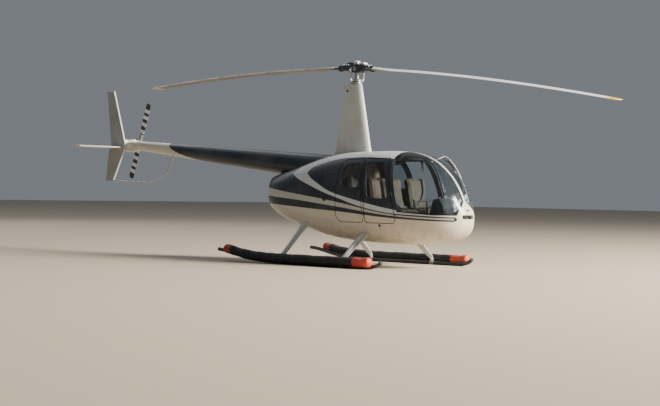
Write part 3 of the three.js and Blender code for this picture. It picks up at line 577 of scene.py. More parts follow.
def moved(shape, matrix):
    bmesh.ops.transform(shape, matrix=matrix, verts=shape.verts)
    return shape


def painted(shape, index):
    # index counts the names of the piece's finishes
    for face in shape.faces:
        face.material_index = index
    return shape


def studs(places, radius, height, sides=10):
    # Screw or rivet heads, each standing on its own matrix
    whole = bmesh.new()
    for place in places:
        bmesh.ops.create_cone(whole, cap_ends=True, segments=sides, radius1=radius, radius2=radius * 0.7,
                              depth=height, matrix=place @ at(0, 0, height * 0.3))
    return whole


def carve(base, keep=(), away=(), add=()):
    # A copy of base cut by other shapes; an object stays for the next use, a shape is used up
    spent = []

    def tool(part):
        if isinstance(part, bpy.types.Object):
            return part
        spent.append(asObject(part))
        return spent[-1]

    made = newObject("blank", base.data.copy()) if isinstance(base, bpy.types.Object) else asObject(base)
    for operation, parts in (("INTERSECT", keep), ("UNION", add), ("DIFFERENCE", away)):
        for part in parts:
            cut = made.modifiers.new("cut", "BOOLEAN")
            cut.operation, cut.solver, cut.object = operation, "MANIFOLD", tool(part)
    shape = asShape(applied(made))
    drop(*spent)
    return shape


def cadName(name):
    # tailFin is tail_fin in the CAD
    return "".join("_" + letter.lower() if letter.isupper() else letter for letter in name)


def finishPiece(name, shape, finish, slot=None, body="airframe", angle=32, paint=False, before=None):
    # A piece with a slot replaces the CAD node of its name. paint keeps each point's place in the drawing, in
    # metres, for the body paint; before moves the piece after that.
    if paint:
        layer = shape.verts.layers.float_vector.new("paintAt")
        for corner in shape.verts:
            corner[layer] = corner.co * 0.001
    if before is not None:
        moved(shape, before)
    made = asObject(moved(shape, fromDrawing), name)
    for material in finish.split():
        made.data.materials.append(materials[material])
    made.data.shade_smooth()
    made.data.set_sharp_from_angle(angle=math.radians(angle))
    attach(made, body)
    if slot:
        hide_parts(cadName(name))
    return made


hull = {
    # x, underside, top, half width, height of the widest line
    "rows": [
        (2345, 790, 872, 60, 832), (2322, 712, 960, 146, 836), (2262, 626, 1092, 240, 842),
        (2150, 540, 1306, 350, 852), (1970, 474, 1520, 455, 872), (1700, 432, 1716, 552, 898),
        (1350, 420, 1838, 614, 925), (950, 420, 1872, 640, 950), (500, 430, 1870, 638, 968),
        (50, 456, 1856, 622, 988), (-400, 520, 1800, 592, 1020), (-800, 620, 1702, 548, 1062),
        (-1150, 702, 1606, 508, 1105), (-1450, 802, 1534, 428, 1155), (-1660, 900, 1480, 330, 1200),
    ],
    "upperPower": 2.8, "lowerPower": 3.1, "ringPoints": 112, "stepsPerRow": 5, "noseFrom": 1400, "openAft": 200,
    "noseCap": [(7, 0.72), (11, 0.36)], "cabinInset": 34, "noseShrink": 1.1, "mostShrink": 0.3, "leastHalf": 0.35,
    "insets": (-1.5, -0.3, 0, 1, 3, 6, 8, 10, 13, 22, 34, 36, 41, 42),
}


def hullStation(step):
    return springPoint([Vector(row) for row in hull["rows"]], step)


def hullRing(x, low, high, half, widest):
    ring = []
    for index in range(hull["ringPoints"]):
        angle = index / hull["ringPoints"] * math.tau
        c, s = math.cos(angle), math.sin(angle)
        power = 2 / (hull["upperPower"] if s > 0 else hull["lowerPower"])
        reach = high - widest if s > 0 else widest - low
        ring.append(Vector((x, half * math.copysign(abs(c) ** power, c),
                            widest + reach * math.copysign(abs(s) ** power, s))))
    return ring


def hullSkin(inset):
    # The hull drawn in by an inset; the cabin's inside runs on aft, so that it stays open there
    rings = []
    count = (len(hull["rows"]) - 1) * hull["stepsPerRow"]
    for step in range(count + 1):
        x, low, high, half, widest = hullStation(step / hull["stepsPerRow"])
        nose = min(max((x - hull["noseFrom"]) / (hull["rows"][0][0] - hull["noseFrom"]), 0), 1)
        shrink = min(inset, (high - low) * hull["mostShrink"])
        rings.append(hullRing(x - inset * nose * hull["noseShrink"], low + shrink, high - shrink,
                              max(half - inset, half * hull["leastHalf"]), widest))
    middle = sum(rings[0], Vector((0, 0, 0))) / hull["ringPoints"]
    cap = [[middle + (point - middle) * share + Vector((ahead, 0, 0)) for point in rings[0]]
           for ahead, share in hull["noseCap"]]
    if inset == hull["cabinInset"]:
        rings.append([point - Vector((hull["openAft"], 0, 0)) for point in rings[-1]])
    return asObject(loft(cap + rings))


def onHull(x, z, side=-1):
    # A matrix that stands a fitting on the skin, at a place seen from the side: Z outwards, X along the body
    def reach(x, z):
        low, high = 0.0, len(hull["rows"]) - 1.0
        for _ in range(30):
            step = (low + high) / 2
            low, high = (step, high) if hullStation(step)[0] > x else (low, step)
        _, under, top, half, widest = hullStation(low)
        power = hull["upperPower"] if z > widest else hull["lowerPower"]
        share = abs(z - widest) / ((top - widest) if z > widest else (widest - under))
        return half * max(1 - min(share, 0.9999) ** power, 0) ** (1 / power)

    slopeX, slopeZ = (reach(x + 2, z) - reach(x - 2, z)) / 4, (reach(x, z + 2) - reach(x, z - 2)) / 4
    normal = Vector((-slopeX, side, -slopeZ)).normalized()
    along = (Vector((1, 0, 0)) - normal * normal.x).normalized()
    return frameOf(along, normal.cross(along), normal, (x, side * reach(x, z), z))


lining = {"front": 1500, "back": -1300, "height": 950, "facing": 0.2, "noseFrom": 2230}


def linedInside(shape):
    # Faces that look into the cabin, at the line along its middle, take the second finish
    for face in shape.faces:
        place = face.calc_center_median()
        ahead = max(place.x - lining["front"], 0) + min(place.x - lining["back"], 0)
        away = Vector((ahead, place.y, place.z - lining["height"])).normalized()
        if face.normal.dot(away) < lining["facing"] and place.x < lining["noseFrom"]:
            face.material_index = 1
    return shape


print("hull skins")
skin = {inset: hullSkin(inset) for inset in hull["insets"]}
inside = skin[hull["cabinInset"]]

edges = {
    "windscreen": [(1424, 925), (1218, 1690), (1190, 1745), (1180, 1960), (2600, 1960), (2600, 888), (1990, 885)],
    # seen from ahead: the nose panel between the two panes
    "nosePanel": [(-222, 700), (222, 700), (210, 888), (169, 959), (90, 1029), (25, 1102), (-25, 1102), (-90, 1029),
                  (-169, 959), (-210, 888)],
    # the plain part of the band behind the windscreen, at its top, a dark sheet that is painted shade of the roof
    # inside
    "bandTop": [(1100, 1728), (1100, 2100), (1300, 2100), (1300, 1728)],
    "tub": [(100, 200), (2600, 200), (2600, 1200), (1600, 1200), (1424, 925), (1330, 925), (1330, 741), (100, 741)],
}
halves = {side: asObject(block(-4000, 4000, *sorted((side * seam / 2, side * 1400)), 0, 4000)) for side in (-1, 1)}
alongX = turning(math.pi / 2, "Y")


def screenZone(by=0.0, away=()):
    # The windscreen's opening: the side outline less the nose panel, which is cut from ahead
    panel = moved(sidePrism(edges["nosePanel"], 6, -by, -2750, -2050), turning(math.pi / 2, "Z"))
    return asObject(carve(sidePrism(edges["windscreen"], 8, by), away=[*away, panel]))


def noseHole(half, z0, z1, rounding, segments):
    return asObject(block(2050, 2750, -half, half, z0, z1, rounding, segments))


# Landing gear: x, height of the cross tube, y and z where the fairing leaves the belly, its chord there
gearFrames = {"front": (737, 562, 583, 560, 245), "rear": (-593, 735, 553, 670, 190)}
legs = {"footY": 1040, "footZ": 190, "footChord": 116, "thickness": 46, "points": 40, "tube": 27}


def gearTube(x, tubeZ, topY, topZ, radius):
    side = [(1085, 112), (1072, 150), (legs["footY"] - 20, legs["footZ"] + 14), (topY, topZ + 2),
            (topY - 70, tubeZ), (0, tubeZ)]
    return sweptTube([(x, -y, z) for y, z in side] + [(x, y, z) for y, z in side[-2::-1]], radius, 20)


def gearTools(more):
    return [asObject(gearTube(*place[:4], legs["tube"] + more)) for place in gearFrames.values()]


gearHoles = gearTools(1)
doorKinds = {
    # outline and its rounding, gap to the shell, window, hinge's foot with its lean aft and in, handle's place
    "Front": {"edge": [(812, 752), (672, 1745), (1128, 1745), (1350, 978), (1396, 812), (1372, 752)],
              "rounding": 40, "gap": 13, "window": [(822, 1122), (714, 1690), (1098, 1690), (1262, 1116)],
              "hinge": (1420, 620, 850), "leanAft": 16, "leanIn": 0, "handle": (866, 1075)},
    "Rear": {"edge": [(170, 830), (150, 1260), (196, 1718), (616, 1742), (756, 752), (240, 752)],
             "rounding": 60, "gap": 11,
             "window": [(226, 1330), (268, 1650), (572, 1690), (648, 1296), (330, 1262)],
             "hinge": (770, 652, 850), "leanAft": 8, "leanIn": 1, "handle": (290, 1222)},
}
# The open door's edge width sets how far its painted highlight reaches in from the edge
doorFit = {"frameStep": 16, "windowRounding": 70, "open": "FrontLeft", "openBy": 92, "paintedLightEdge": 9,
           "windowSeal": (7, -9), "doorSeal": (22, -30)}
knuckle = {"radius": 8, "half": 20, "end": 46, "gap": 0.4, "spacing": 375, "arm": 6, "footFrom": 44, "footTo": 72,
           "depth": 30, "edge": 1.2}


def hingeLine(door, side):
    x, y, z = door["hinge"]
    up = Vector((-math.tan(math.radians(door["leanAft"])), -side * math.tan(math.radians(door["leanIn"])), 1))
    return Vector((x, side * y, z)), up.normalized()


def hingeParts(door, side):
    # A door's two hinges: the door's knuckle with its arm stands on the body's knuckle
    point, up = hingeLine(door, side)
    out = (Vector((0, side, 0)) - up * side * up.y).normalized()
    radius, half, end, depth, edge = (knuckle[key] for key in ("radius", "half", "end", "depth", "edge"))
    low = half + knuckle["gap"]
    onDoor, onBody = [], []
    for along in (0, knuckle["spacing"]):
        middle = point + up * along
        basis = frameOf(up.cross(out) * side, out, up, middle)

        def plate(aft0, aft1, in0, in1, up0, up1):
            return moved(block(aft0, aft1, -in1, -in0, up0, up1, edge, 2), basis)

        onDoor += [bar(middle - up * half, middle + up * half, radius, edge=edge),
                   plate(0, knuckle["footTo"], -knuckle["arm"] / 2, knuckle["arm"] / 2, -half, half),
                   plate(knuckle["footFrom"], knuckle["footTo"], 0, depth, -half, half)]
        onBody += [bar(middle - up * end, middle - up * low, radius, edge=edge),
                   plate(-radius, radius, 0, depth, -end, -low)]
    return joined(*onDoor), joined(*onBody)


def eachDoor():
    # Every door with its name, its row, its side, its turn at rest and the matrix of that turn
    for kind, door in doorKinds.items():
        for sideName, side in sides.items():
            name = kind + sideName
            openBy = doorFit["openBy"] if name == doorFit["open"] else 0
            point, up = hingeLine(door, side)
            yield name, door, side, openBy, at(*point) @ turning(math.radians(openBy), up * -side) @ at(*-point)


print("cabin shell")
screenHole = screenZone(seam)
doorHoles = [asObject(sidePrism(door["edge"], door["rounding"], door["gap"])) for door in doorKinds.values()]
lampHole, slotHole = noseHole(128.3, 833.7, 898.3, 28, 5), noseHole(54, 953, 979, 11.7, 4)
tub = carve(skin[0], keep=[slab(100, 2600), sidePrism(edges["tub"])],
            away=[inside, screenHole, lampHole, slotHole] + doorHoles + gearHoles)
roof = carve(skin[0], keep=[slab(100, 1454)], away=[inside, screenHole, sidePrism(edges["tub"], 0, seam)] + doorHoles)
finishPiece("cabinTub", linedInside(outward(tub)), "bodyPaint trimPlastic", "cream_paint", paint=True)
finishPiece("cabinRoof", linedInside(outward(roof)), "bodyPaint trimPlastic", "silver_paint", paint=True)

finishPiece("landingLightLens", carve(skin[0], keep=[noseHole(128, 834, 898, 28, 5)], away=[skin[10]]), "lampGlass",
            "tinted_acrylic")

print("doors")
bodyKnuckles = []
for name, door, side, openBy, swung in eachDoor():
    body = cadName("door" + name)

    def leaf(outside, within, outline, by, *away):
        # What lies between two skins, on this door's side and inside an outline
        rounding = door["rounding"] if outline == "edge" else doorFit["windowRounding"]
        return carve(skin[outside], keep=[sidePrism(door[outline], rounding, by), halves[side]],
                     away=[skin[within], *[sidePrism(door[outline], rounding, less) for less in away]])

    panel = leaf(0, 13, "edge", 0.0)
    inner = leaf(6, hull["cabinInset"], "edge", -doorFit["frameStep"])
    opening = sidePrism(door["window"], doorFit["windowRounding"])
    shape = linedInside(outward(carve(panel, add=[inner], away=[opening])))
    onDoor, onBody = hingeParts(door, side)
    bodyKnuckles.append(onBody)
    finishPiece("door" + name, joined(shape, painted(onDoor, 0)), "bodyPaint trimPlastic", "slate_paint", body,
                paint=True, before=swung)
    if openBy:
        # The open door's skin has a bright cream rim along its edge: a painted highlight
        finishPiece("doorEdge" + name, leaf(-0.3, 1, "edge", 0.0, -doorFit["paintedLightEdge"]), "creamPaint", body=body,
                    before=swung)
    finishPiece("doorPane" + name, leaf(3, 8, "window", -seam), "tintedAcrylic", "tinted_acrylic", body,
                before=swung)
    finishPiece("windowSeal" + name, leaf(-1.5, 3, "window", *doorFit["windowSeal"]), "blackRubber", body=body,
                before=swung)
    finishPiece("doorSeal" + name, leaf(36, 41, "edge", *doorFit["doorSeal"]), "bodyPaint", paint=True)
finishPiece("doorKnuckles", joined(*bodyKnuckles), "bodyPaint", paint=True)

print("windscreen")
screen = {"stripHalf": 21, "band": 18}
screenTool = screenZone()
for name, side in sides.items():
    beside = block(0, 3000, *sorted((side * (screen["stripHalf"] + seam), side * 1400)), 0, 3000)
    finishPiece("windscreen" + name, carve(skin[1], keep=[screenTool, beside], away=[skin[6]]), "tintedAcrylic",
                "tinted_acrylic")
# A black rubber seal round the windscreen's edge; at its top it widens into a dark sheet, painted shade of the roof
# inside
bandHole = screenZone(-screen["band"], [sidePrism(edges["bandTop"])])
finishPiece("windscreenBand", carve(skin[6], keep=[screenTool], away=[skin[8], bandHole]), "blackRubber")
strip = block(0, 3000, -screen["stripHalf"], screen["stripHalf"], 0, 3000)
finishPiece("windscreenStrip", carve(skin[0], keep=[screenTool, strip], away=[skin[22]]), "silverPaint",
            "silver_paint")

print("cowls")
# Tail cone: its two ends, from the rotor shaft back to the tail gearbox
cone = {"front": (-250, 0, 1569), "end": (-5430, 0, 2004), "frontRadius": 234, "endRadius": 84, "wall": 30}
cowl = {
    "top": [(400, 2300), (400, 1575), (-700, 1500), (-1300, 1430), (-2000, 1385), (-2000, 2300)],
    "belly": [(400, 200), (400, 741), (-550, 800), (-1150, 925), (-2000, 1120), (-2000, 200)],
    "panelGap": 2.5, "screwIn": 17, "screwPitch": 118, "screwRadius": 5.5, "screwHeight": 2.0, "cornerClear": 90,
}
exhaust = {"route": [(-740, 120, 812), (-742, 120, 768), (-780, 120, 722), (-865, 120, 672), (-960, 120, 585)],
           "boreEnd": (-1010, 120, 537), "radius": 38, "wall": 2.5, "hole": 44, "top": 799.7}


def coneBlank(by=0.0, longer=0.0):
    (x0, y0, z0), (x1, y1, z1) = cone["front"], cone["end"]
    return bar((x0 + longer, y0, z0), (x1 - longer, y1, z1), cone["frontRadius"] + by, cone["endRadius"] + by, 96)


def heightOn(points, x):
    for (x0, z0), (x1, z1) in zip(points, points[1:]):
        if min(x0, x1) <= x <= max(x0, x1):
            return z0 + (z1 - z0) * (x - x0) / (x1 - x0)


def stepsBetween(first, last, pitch):
    count = max(round(abs(last - first) / pitch), 1)
    return [first + (last - first) * index / count for index in range(count + 1)]


cowlZone = asObject(slab(-1655, 99.7))
coneHole = asObject(coneBlank(seam, seam))
exhaustHole = asObject(sweptTube(exhaust["route"], exhaust["hole"], 24))
panelGaps = [asObject(sidePrism(cowl[name], 0, cowl["panelGap"])) for name in ("top", "belly")]
cowlPanels = {
    # what is kept, what is cut away, and the slot
    "Top": ([asObject(sidePrism(cowl["top"]))], [coneHole], "silver_paint"),
    "Belly": ([asObject(sidePrism(cowl["belly"]))], [exhaustHole] + gearHoles, "cream_paint"),
    "Right": ([halves[-1]], [coneHole] + panelGaps, "slate_paint"),
    "Left": ([halves[1]], [coneHole] + panelGaps, "slate_paint"),
}
for name, (kept, away, slot) in cowlPanels.items():
    shape = outward(carve(skin[0], keep=[cowlZone] + kept, away=[inside] + away))
    finishPiece("cowl" + name, painted(shape, 0), "bodyPaint", slot, paint=True)
bellyLine, topLine = cowl["belly"][1:5], cowl["top"][1:5]
cowlScrews = []
for side in (-1, 1):
    for x in stepsBetween(76, -1560, cowl["screwPitch"]):
        cowlScrews += [onHull(x, heightOn(bellyLine, x) + cowl["screwIn"], side),
                       onHull(x, heightOn(topLine, x) - cowl["screwIn"], side)]
    for x in (80, -1560):
        low, high = heightOn(bellyLine, x) + cowl["cornerClear"], heightOn(topLine, x) - cowl["cornerClear"]
        cowlScrews += [onHull(x, z, side) for z in stepsBetween(low, high, cowl["screwPitch"])]
finishPiece("cowlScrews", studs(cowlScrews, cowl["screwRadius"], cowl["screwHeight"]), "bareMetal")

print("tail cone")
coneDetail = {
    "bays": [-1240, -1830, -2420, -3010, -3600, -4190, -4780], "rivets": 30, "rivetRadius": 2.6, "rivetHeight": 1.2,
    "rowsApart": 22, "bandHalf": 20, "bandRise": 0.8, "bandWall": 4,
    "seamTurns": (62, 242), "seamFrom": -1700, "seamTo": -5350, "seamPitch": 48,
}
coneLine = Vector(cone["end"]) - Vector(cone["front"])
coneAhead = coneLine.normalized()


def coneRing(x, by=0.0):
    # The middle and the radius of the cone at x
    share = (x - cone["front"][0]) / (cone["end"][0] - cone["front"][0])
    radius = cone["frontRadius"] + (cone["endRadius"] - cone["frontRadius"]) * share + by
    return Vector(cone["front"]) + coneLine * share, radius


def coneAt(x, angle, by=0.0):
    # A matrix on the cone's skin, Z outwards
    middle, radius = coneRing(x, by)
    out = Matrix.Rotation(angle, 3, coneAhead) @ Vector((0, 1, 0))
    return frameOf(coneAhead, out.cross(coneAhead), out, middle + out * radius)


bands = []
for x in coneDetail["bays"]:
    (first, firstRadius), (last, lastRadius) = (coneRing(x + off, coneDetail["bandRise"])
                                                for off in (coneDetail["bandHalf"], -coneDetail["bandHalf"]))
    bands.append(carve(bar(first, last, firstRadius, lastRadius, 96), away=[coneBlank(-coneDetail["bandWall"], 1)]))
coneTube = carve(coneBlank(), away=[coneBlank(-cone["wall"], 1)])
finishPiece("tailCone", outward(joined(coneTube, *bands)), "tailPaint", "slate_paint", paint=True)
rivetPlaces = [coneAt(x + off, math.tau * turn / coneDetail["rivets"], coneDetail["bandRise"])
               for x in coneDetail["bays"] for off in (-coneDetail["rowsApart"] / 2, coneDetail["rowsApart"] / 2)
               for turn in range(coneDetail["rivets"])]
rivetPlaces += [coneAt(x, math.radians(turn)) for turn in coneDetail["seamTurns"]
                for x in stepsBetween(coneDetail["seamFrom"], coneDetail["seamTo"], coneDetail["seamPitch"])]
finishPiece("tailConeRivets", studs(rivetPlaces, coneDetail["rivetRadius"], coneDetail["rivetHeight"], 8),
            "tailPaint", paint=True)

print("mast fairing")
fairing = {
    # height, leading edge, trailing edge, half thickness
    "rows": [(1660, 470, -540, 150), (1850, 340, -470, 108), (1930, 318, -440, 98), (2948, 107, -272, 67),
             (2957, 102, -268, 63), (2960, 94, -262, 57)],
    "points": 72, "bore": 44, "boreFoot": 2640, "rivetTurns": (0.72, 2.5), "rivetsFrom": 1950, "rivetsTo": 2925,
    "rivetPitch": 56, "rivetRadius": 4.5, "rivetHeight": 1.4, "portTurn": 1.98, "portHeight": 2850,
}


def fairingPlace(angle, z, front, back, half):
    # A place on the outline at one height; turn 0 is the leading edge
    c, s = math.cos(angle), math.sin(angle)
    return Vector(((front + back) / 2 + (front - back) / 2 * c, half * 1.12 * s * (0.72 + 0.28 * c), z))


def fairingAt(z, turn):
    # A matrix on the fairing's skin at a height and at a turn round its outline, Z outwards
    rows = fairing["rows"]
    low, high = next(pair for pair in zip(rows, rows[1:]) if pair[0][0] <= z <= pair[1][0])
    share = (z - low[0]) / (high[0] - low[0])
    row = [z] + [a + (b - a) * share for a, b in zip(low[1:], high[1:])]
    along = (fairingPlace(turn + 0.01, *row) - fairingPlace(turn - 0.01, *row)).normalized()
    out = along.cross(Vector((0, 0, 1))).normalized()
    return frameOf(along, out.cross(along), out, fairingPlace(turn, *row))


mastBore = bar((0, 0, fairing["boreFoot"]), (0, 0, 3100), fairing["bore"], sides=48)
fairingBlank = loft([[fairingPlace(math.tau * index / fairing["points"], *row) for index in range(fairing["points"])]
                     for row in fairing["rows"]])
finishPiece("mastFairing", carve(fairingBlank, away=[skin[-0.3], coneHole, mastBore]), "silverPaint", "silver_paint")
fairingRivets = [fairingAt(z, sign * turn)
                 for z in stepsBetween(fairing["rivetsFrom"], fairing["rivetsTo"], fairing["rivetPitch"])
                 for sign in (-1, 1) for turn in fairing["rivetTurns"]]
fairingRivets += [fairingAt(fairing["rivetsTo"], sign * turn / 10) for turn in range(9, 28, 2) for sign in (-1, 1)]
finishPiece("mastFairingRivets", studs(fairingRivets, fairing["rivetRadius"], fairing["rivetHeight"], 8),
            "silverPaint")
for name, side in sides.items():
    port = turned([(0, -2), (19, -2), (21, 1), (19, 3), (16, 1), (0, 0.4)], 32)
    finishPiece("fairingPort" + name, moved(port, fairingAt(fairing["portHeight"], side * fairing["portTurn"])),
                "blackRubber")

print("rotor head")
head = {"height": 3210, "tilt": 2.7, "mast": 36, "trunnion": 38, "trunnionHalf": 74, "screwRing": 67, "screws": 8}
rotorFrame = at(0, 0, head["height"]) @ turning(math.radians(head["tilt"]), "Y")


def halfTurn(shape):
    # The shape with a second copy, turned half round the shaft
    other = shape.copy()
    return joined(shape, moved(other, turning(math.pi, "Z")))


lowerRing = turned([(42, 2960.3), (88, 2960.3), (92, 2964), (92, 2990), (88, 2994), (46, 2994), (42, 2990),
                    (42, 2960.3)])
ringScrews = studs([at(head["screwRing"] * c, head["screwRing"] * s, 2994) for c, s in roundPlaces(head["screws"])],
                   5, 4)
finishPiece("swashplateLower", joined(lowerRing, ringScrews), "bareMetal", "bare_metal")
upperRing = turned([(36.3, 3000), (84, 3000), (86, 3002), (86, 3028), (84, 3030), (60, 3030), (54, 3040),
                    (36.3, 3040), (36.3, 3000)])
pitchLink = joined(block(6, 34, 60, 140, 3002, 3028, 4), bar((20, 126, 3010), (20, 138, 3172), 10, sides=20),
                   bar((20, 129, 3050), (20, 134.5, 3124), 14, sides=6),
                   bar((6, 127, 3036), (34, 127, 3036), 14, edge=3),
                   bar((8, 138, 3172), (32, 138, 3172), 15, edge=3))
finishPiece("swashplateUpper", joined(upperRing, halfTurn(pitchLink)), "bareMetal", "bare_metal", "main_rotor")


def crossBar(half, radius, sides, edge):
    return bar((0, -half, head["height"]), (0, half, head["height"]), radius, sides=sides, edge=edge)


mastShape = joined(bar((0, 0, fairing["boreFoot"] + seam), (0, 0, head["height"]), head["mast"], sides=48),
                   crossBar(head["trunnionHalf"], head["trunnion"], 48, 4), crossBar(82, 22, 6, 2))
finishPiece("rotorMast", mastShape, "bareMetal", "bare_metal", "main_rotor")
hubShape = carve(block(-300, 300, -62, 62, -42, 52, 16, 4), add=[block(-120, 120, -62, 62, -70, 70, 14, 4)],
                 away=[bar((0, -120, 0), (0, 120, 0), head["trunnion"] + 1, sides=48),
                       block(-46, 46, -42, 42, -200, 0)])
# Plates on the hub's top at both ends: the forward ones white, the aft ones, white too on the real hub, in the dark hub
# paint as painted shade
plates = joined(block(72, 190, -46, 46, 66, 92, 9, 3), block(88, 172, -30, 30, 90, 99, 4, 3))
shadedAftPlates = joined(block(-190, -72, -46, 46, 66, 92, 9, 3), block(-172, -88, -30, 30, 90, 99, 4, 3))
hubBolts = studs([at(x, y, 54) for x in (-272, -232, 232, 272) for y in (-34, 34)], 11, 12, 6)
coningBolt = bar((262, -72, 4), (262, 72, 4), 17, sides=6, edge=2)
neck = turned([(0, 60), (44, 60), (44, 66), (30, 76), (28, 96), (0, 96)])
cap = turned([(0, 94), (30, 94), (48, 101), (50, 105), (49, 111), (40, 119), (20, 123), (0, 124)])
hubWhole = joined(painted(hubShape, 0), painted(plates, 1), painted(shadedAftPlates, 0), painted(hubBolts, 2),
                  painted(halfTurn(coningBolt), 2), painted(neck, 2), painted(cap, 1))
finishPiece("rotorHub", moved(hubWhole, rotorFrame), "hubPaint markWhite bareMetal", "black_paint", "main_rotor")

print("main blades")
blade = {
    # distance from the shaft, chord, thickness, pitch
    "rows": [(300.3, 108, 84, 0), (430, 110, 76, 2), (640, 180, 44, 6), (860, 254, 30, 8), (2000, 254, 30, 6.5),
             (3200, 254, 30, 5), (4300, 254, 30, 3.5), (4980, 254, 29, 2.5), (5030, 203, 16, 2.5)],
    "radius": 5030, "droop": 400, "droopPower": 1.7, "points": 40, "cuffTo": 380, "edgeFrom": 840, "edgeAt": 0.21,
    "tipFrom": 4880,
    "stations": [300.3, 330, 380, 430, 500, 570, 640, 710, 790, 860, 1100, 1400, 1700, 2000, 2300, 2600, 2900, 3200,
                 3500, 3800, 4100, 4300, 4600, 4880, 4980, 5012, 5030],
}


def rowAt(rows, r):
    for low, high in zip(rows, rows[1:]):
        if r <= high[0]:
            share = (r - low[0]) / (high[0] - low[0])
            return [a + (b - a) * share for a, b in zip(low[1:], high[1:])]
    return rows[-1][1:]


def aerofoil(chord, thickness, points):
    return [((u * 0.5 - 0.2) * chord, s * (0.62 + 0.38 * u) * 1.1 * thickness / 2) for u, s in roundPlaces(points)]


def bladeShape():
    rings = []
    for r in blade["stations"]:
        chord, thickness, pitch = rowAt(blade["rows"], r)
        sag = -blade["droop"] * (r / blade["radius"]) ** blade["droopPower"]
        c, s = math.cos(math.radians(pitch)), math.sin(math.radians(pitch))
        rings.append([Vector((r, y * c - z * s, sag + y * s + z * c))
                      for y, z in aerofoil(chord, thickness, blade["points"])])
    shape = loft(rings)
    for face in shape.faces:
        place = face.calc_center_median()
        ahead = place.y / rowAt(blade["rows"], place.x)[0] > blade["edgeAt"]
        index = 0 if face.normal.z > 0.05 else 1
        if place.x < blade["cuffTo"]:
            index = 4
        elif place.x > blade["tipFrom"]:
            index = 2
        elif ahead and place.x > blade["edgeFrom"]:
            index = 3
        face.material_index = index
    return shape


def bladeRoot():
    # Pitch horn with its bolt, and the ribbed boot round the spindle
    ribs = [(46 + 5 * (index % 2), 306 + index * 9) for index in range(9)]
    boot = turned([(0, 306)] + ribs + [(0, 378)])
    arm = sidePrism([(430, 24), (428, 86), (34, 155), (5, 150), (5, 126), (34, 121), (370, 74), (384, 24)], 7, 0.0,
                    -13, 13)
    horn = joined(moved(arm, turning(-math.pi / 2, "X")), bar((20, 138, -40), (20, 138, 18), 9, sides=16, edge=2))
    return joined(painted(moved(boot, at(0, 0, -3) @ alongX), 5), painted(moved(horn, at(0, 0, -6)), 4))


for name, turn in (("Forward", 0), ("Aft", math.pi)):
    finishPiece("rotorBlade" + name, moved(joined(bladeShape(), bladeRoot()), rotorFrame @ turning(turn, "Z")),
                "bladeTop bladeUnder tipYellow bareMetal hubPaint blackRubber", "black_paint", "main_rotor", angle=40)

print("fin and stabiliser")
fin = {
    "edge": [(-6096, 3030), (-6300, 3035), (-6161, 2041), (-6224, 1929), (-6307, 1346), (-6090, 1346), (-5741, 2000)],
    "right": -95, "left": -60, "rounding": 14, "lip": 10, "rivetPitch": 42, "rivetRadius": 3.2, "rivetHeight": 1.2,
    "rivetRows": [((-6136, 2980), (-5795, 2040)), ((-5800, 1960), (-6110, 1400)), ((-6270, 2980), (-6150, 2060)),
                  ((-6200, 1900), (-6275, 1400)), ((-6270, 2980), (-6136, 2980)), ((-6275, 1400), (-6110, 1400)),
                  ((-6150, 2060), (-5795, 2040)), ((-6195, 2620), (-6010, 2620)), ((-6205, 1680), (-5965, 1680))],
}
finShape = softRims(sidePrism(fin["edge"], fin["rounding"], 0.0, fin["right"], fin["left"]), fin["lip"], 4)
# The rounded front edge, facing the nose lamp, takes the lighter silver paint: a painted highlight
for face in finShape.faces:
    # The rounded front edge is bright
    face.material_index = 1 if face.normal.x > 0.25 else 0
finishPiece("tailFin", finShape, "greyPaint silverPaint", "silver_paint")
finRivets = []
for (x0, z0), (x1, z1) in fin["rivetRows"]:
    length = math.dist((x0, z0), (x1, z1))
    for along in stepsBetween(0, length, fin["rivetPitch"]):
        share = along / length
        finRivets += [at(x0 + (x1 - x0) * share, fin[name], z0 + (z1 - z0) * share) @ turning(turn, "X")
                      for name, turn in (("right", math.pi / 2), ("left", -math.pi / 2))]
finishPiece("tailFinRivets", studs(finRivets, fin["rivetRadius"], fin["rivetHeight"], 8), "greyPaint")
finHole = sidePrism(fin["edge"], fin["rounding"], seam, fin["right"] - seam, fin["left"] + seam)
stabiliser = {
    "front": -5840, "back": -6120, "z": 1976, "thick": 48, "middle": -5930,
    # y, share of the full section
    "rings": [(-95.3, 1), (-350, 1), (-700, 1), (-1038, 1), (-1046, 0.97), (-1050, 0.88)],
}
section = aerofoil(stabiliser["front"] - stabiliser["back"], stabiliser["thick"], 40)
stabiliserShape = loft([[Vector((stabiliser["middle"] + u * (0.5 + share / 2), y, stabiliser["z"] + v * share))
                         for u, v in section] for y, share in stabiliser["rings"]])
finishPiece("stabiliser", stabiliserShape, "creamPaint", "cream_paint")

print("tail gearbox and rotor")
gearbox = {
    "profile": [(0, -5430.3), (74, -5430.3), (92, -5470), (96, -5490), (98, -5560), (98, -5680), (90, -5770),
                (70, -5870), (40, -5950), (0, -5990)],
    "z": 1985, "shaft": -5890, "sleeve": [(-20, 2066), (255, 2106)], "sleeveRadius": (62, 34), "bore": 24.8,
    "ribs": (60, 200, 22), "rise": 0.1455, "ribRadius": 66, "ribTaper": 0.1, "boltsAt": -5466, "bolts": 10,
    "boltRing": 88,
}


def sleeveRib(y):
    # A cooling rib round the sleeve, which rises to its outer end
    foot, low = gearbox["sleeve"][0]
    ends = [Vector((gearbox["shaft"], end, low + (end - foot) * gearbox["rise"])) for end in (y, y + 6)]
    return bar(*ends, gearbox["ribRadius"] - (y - foot) * gearbox["ribTaper"], sides=48)


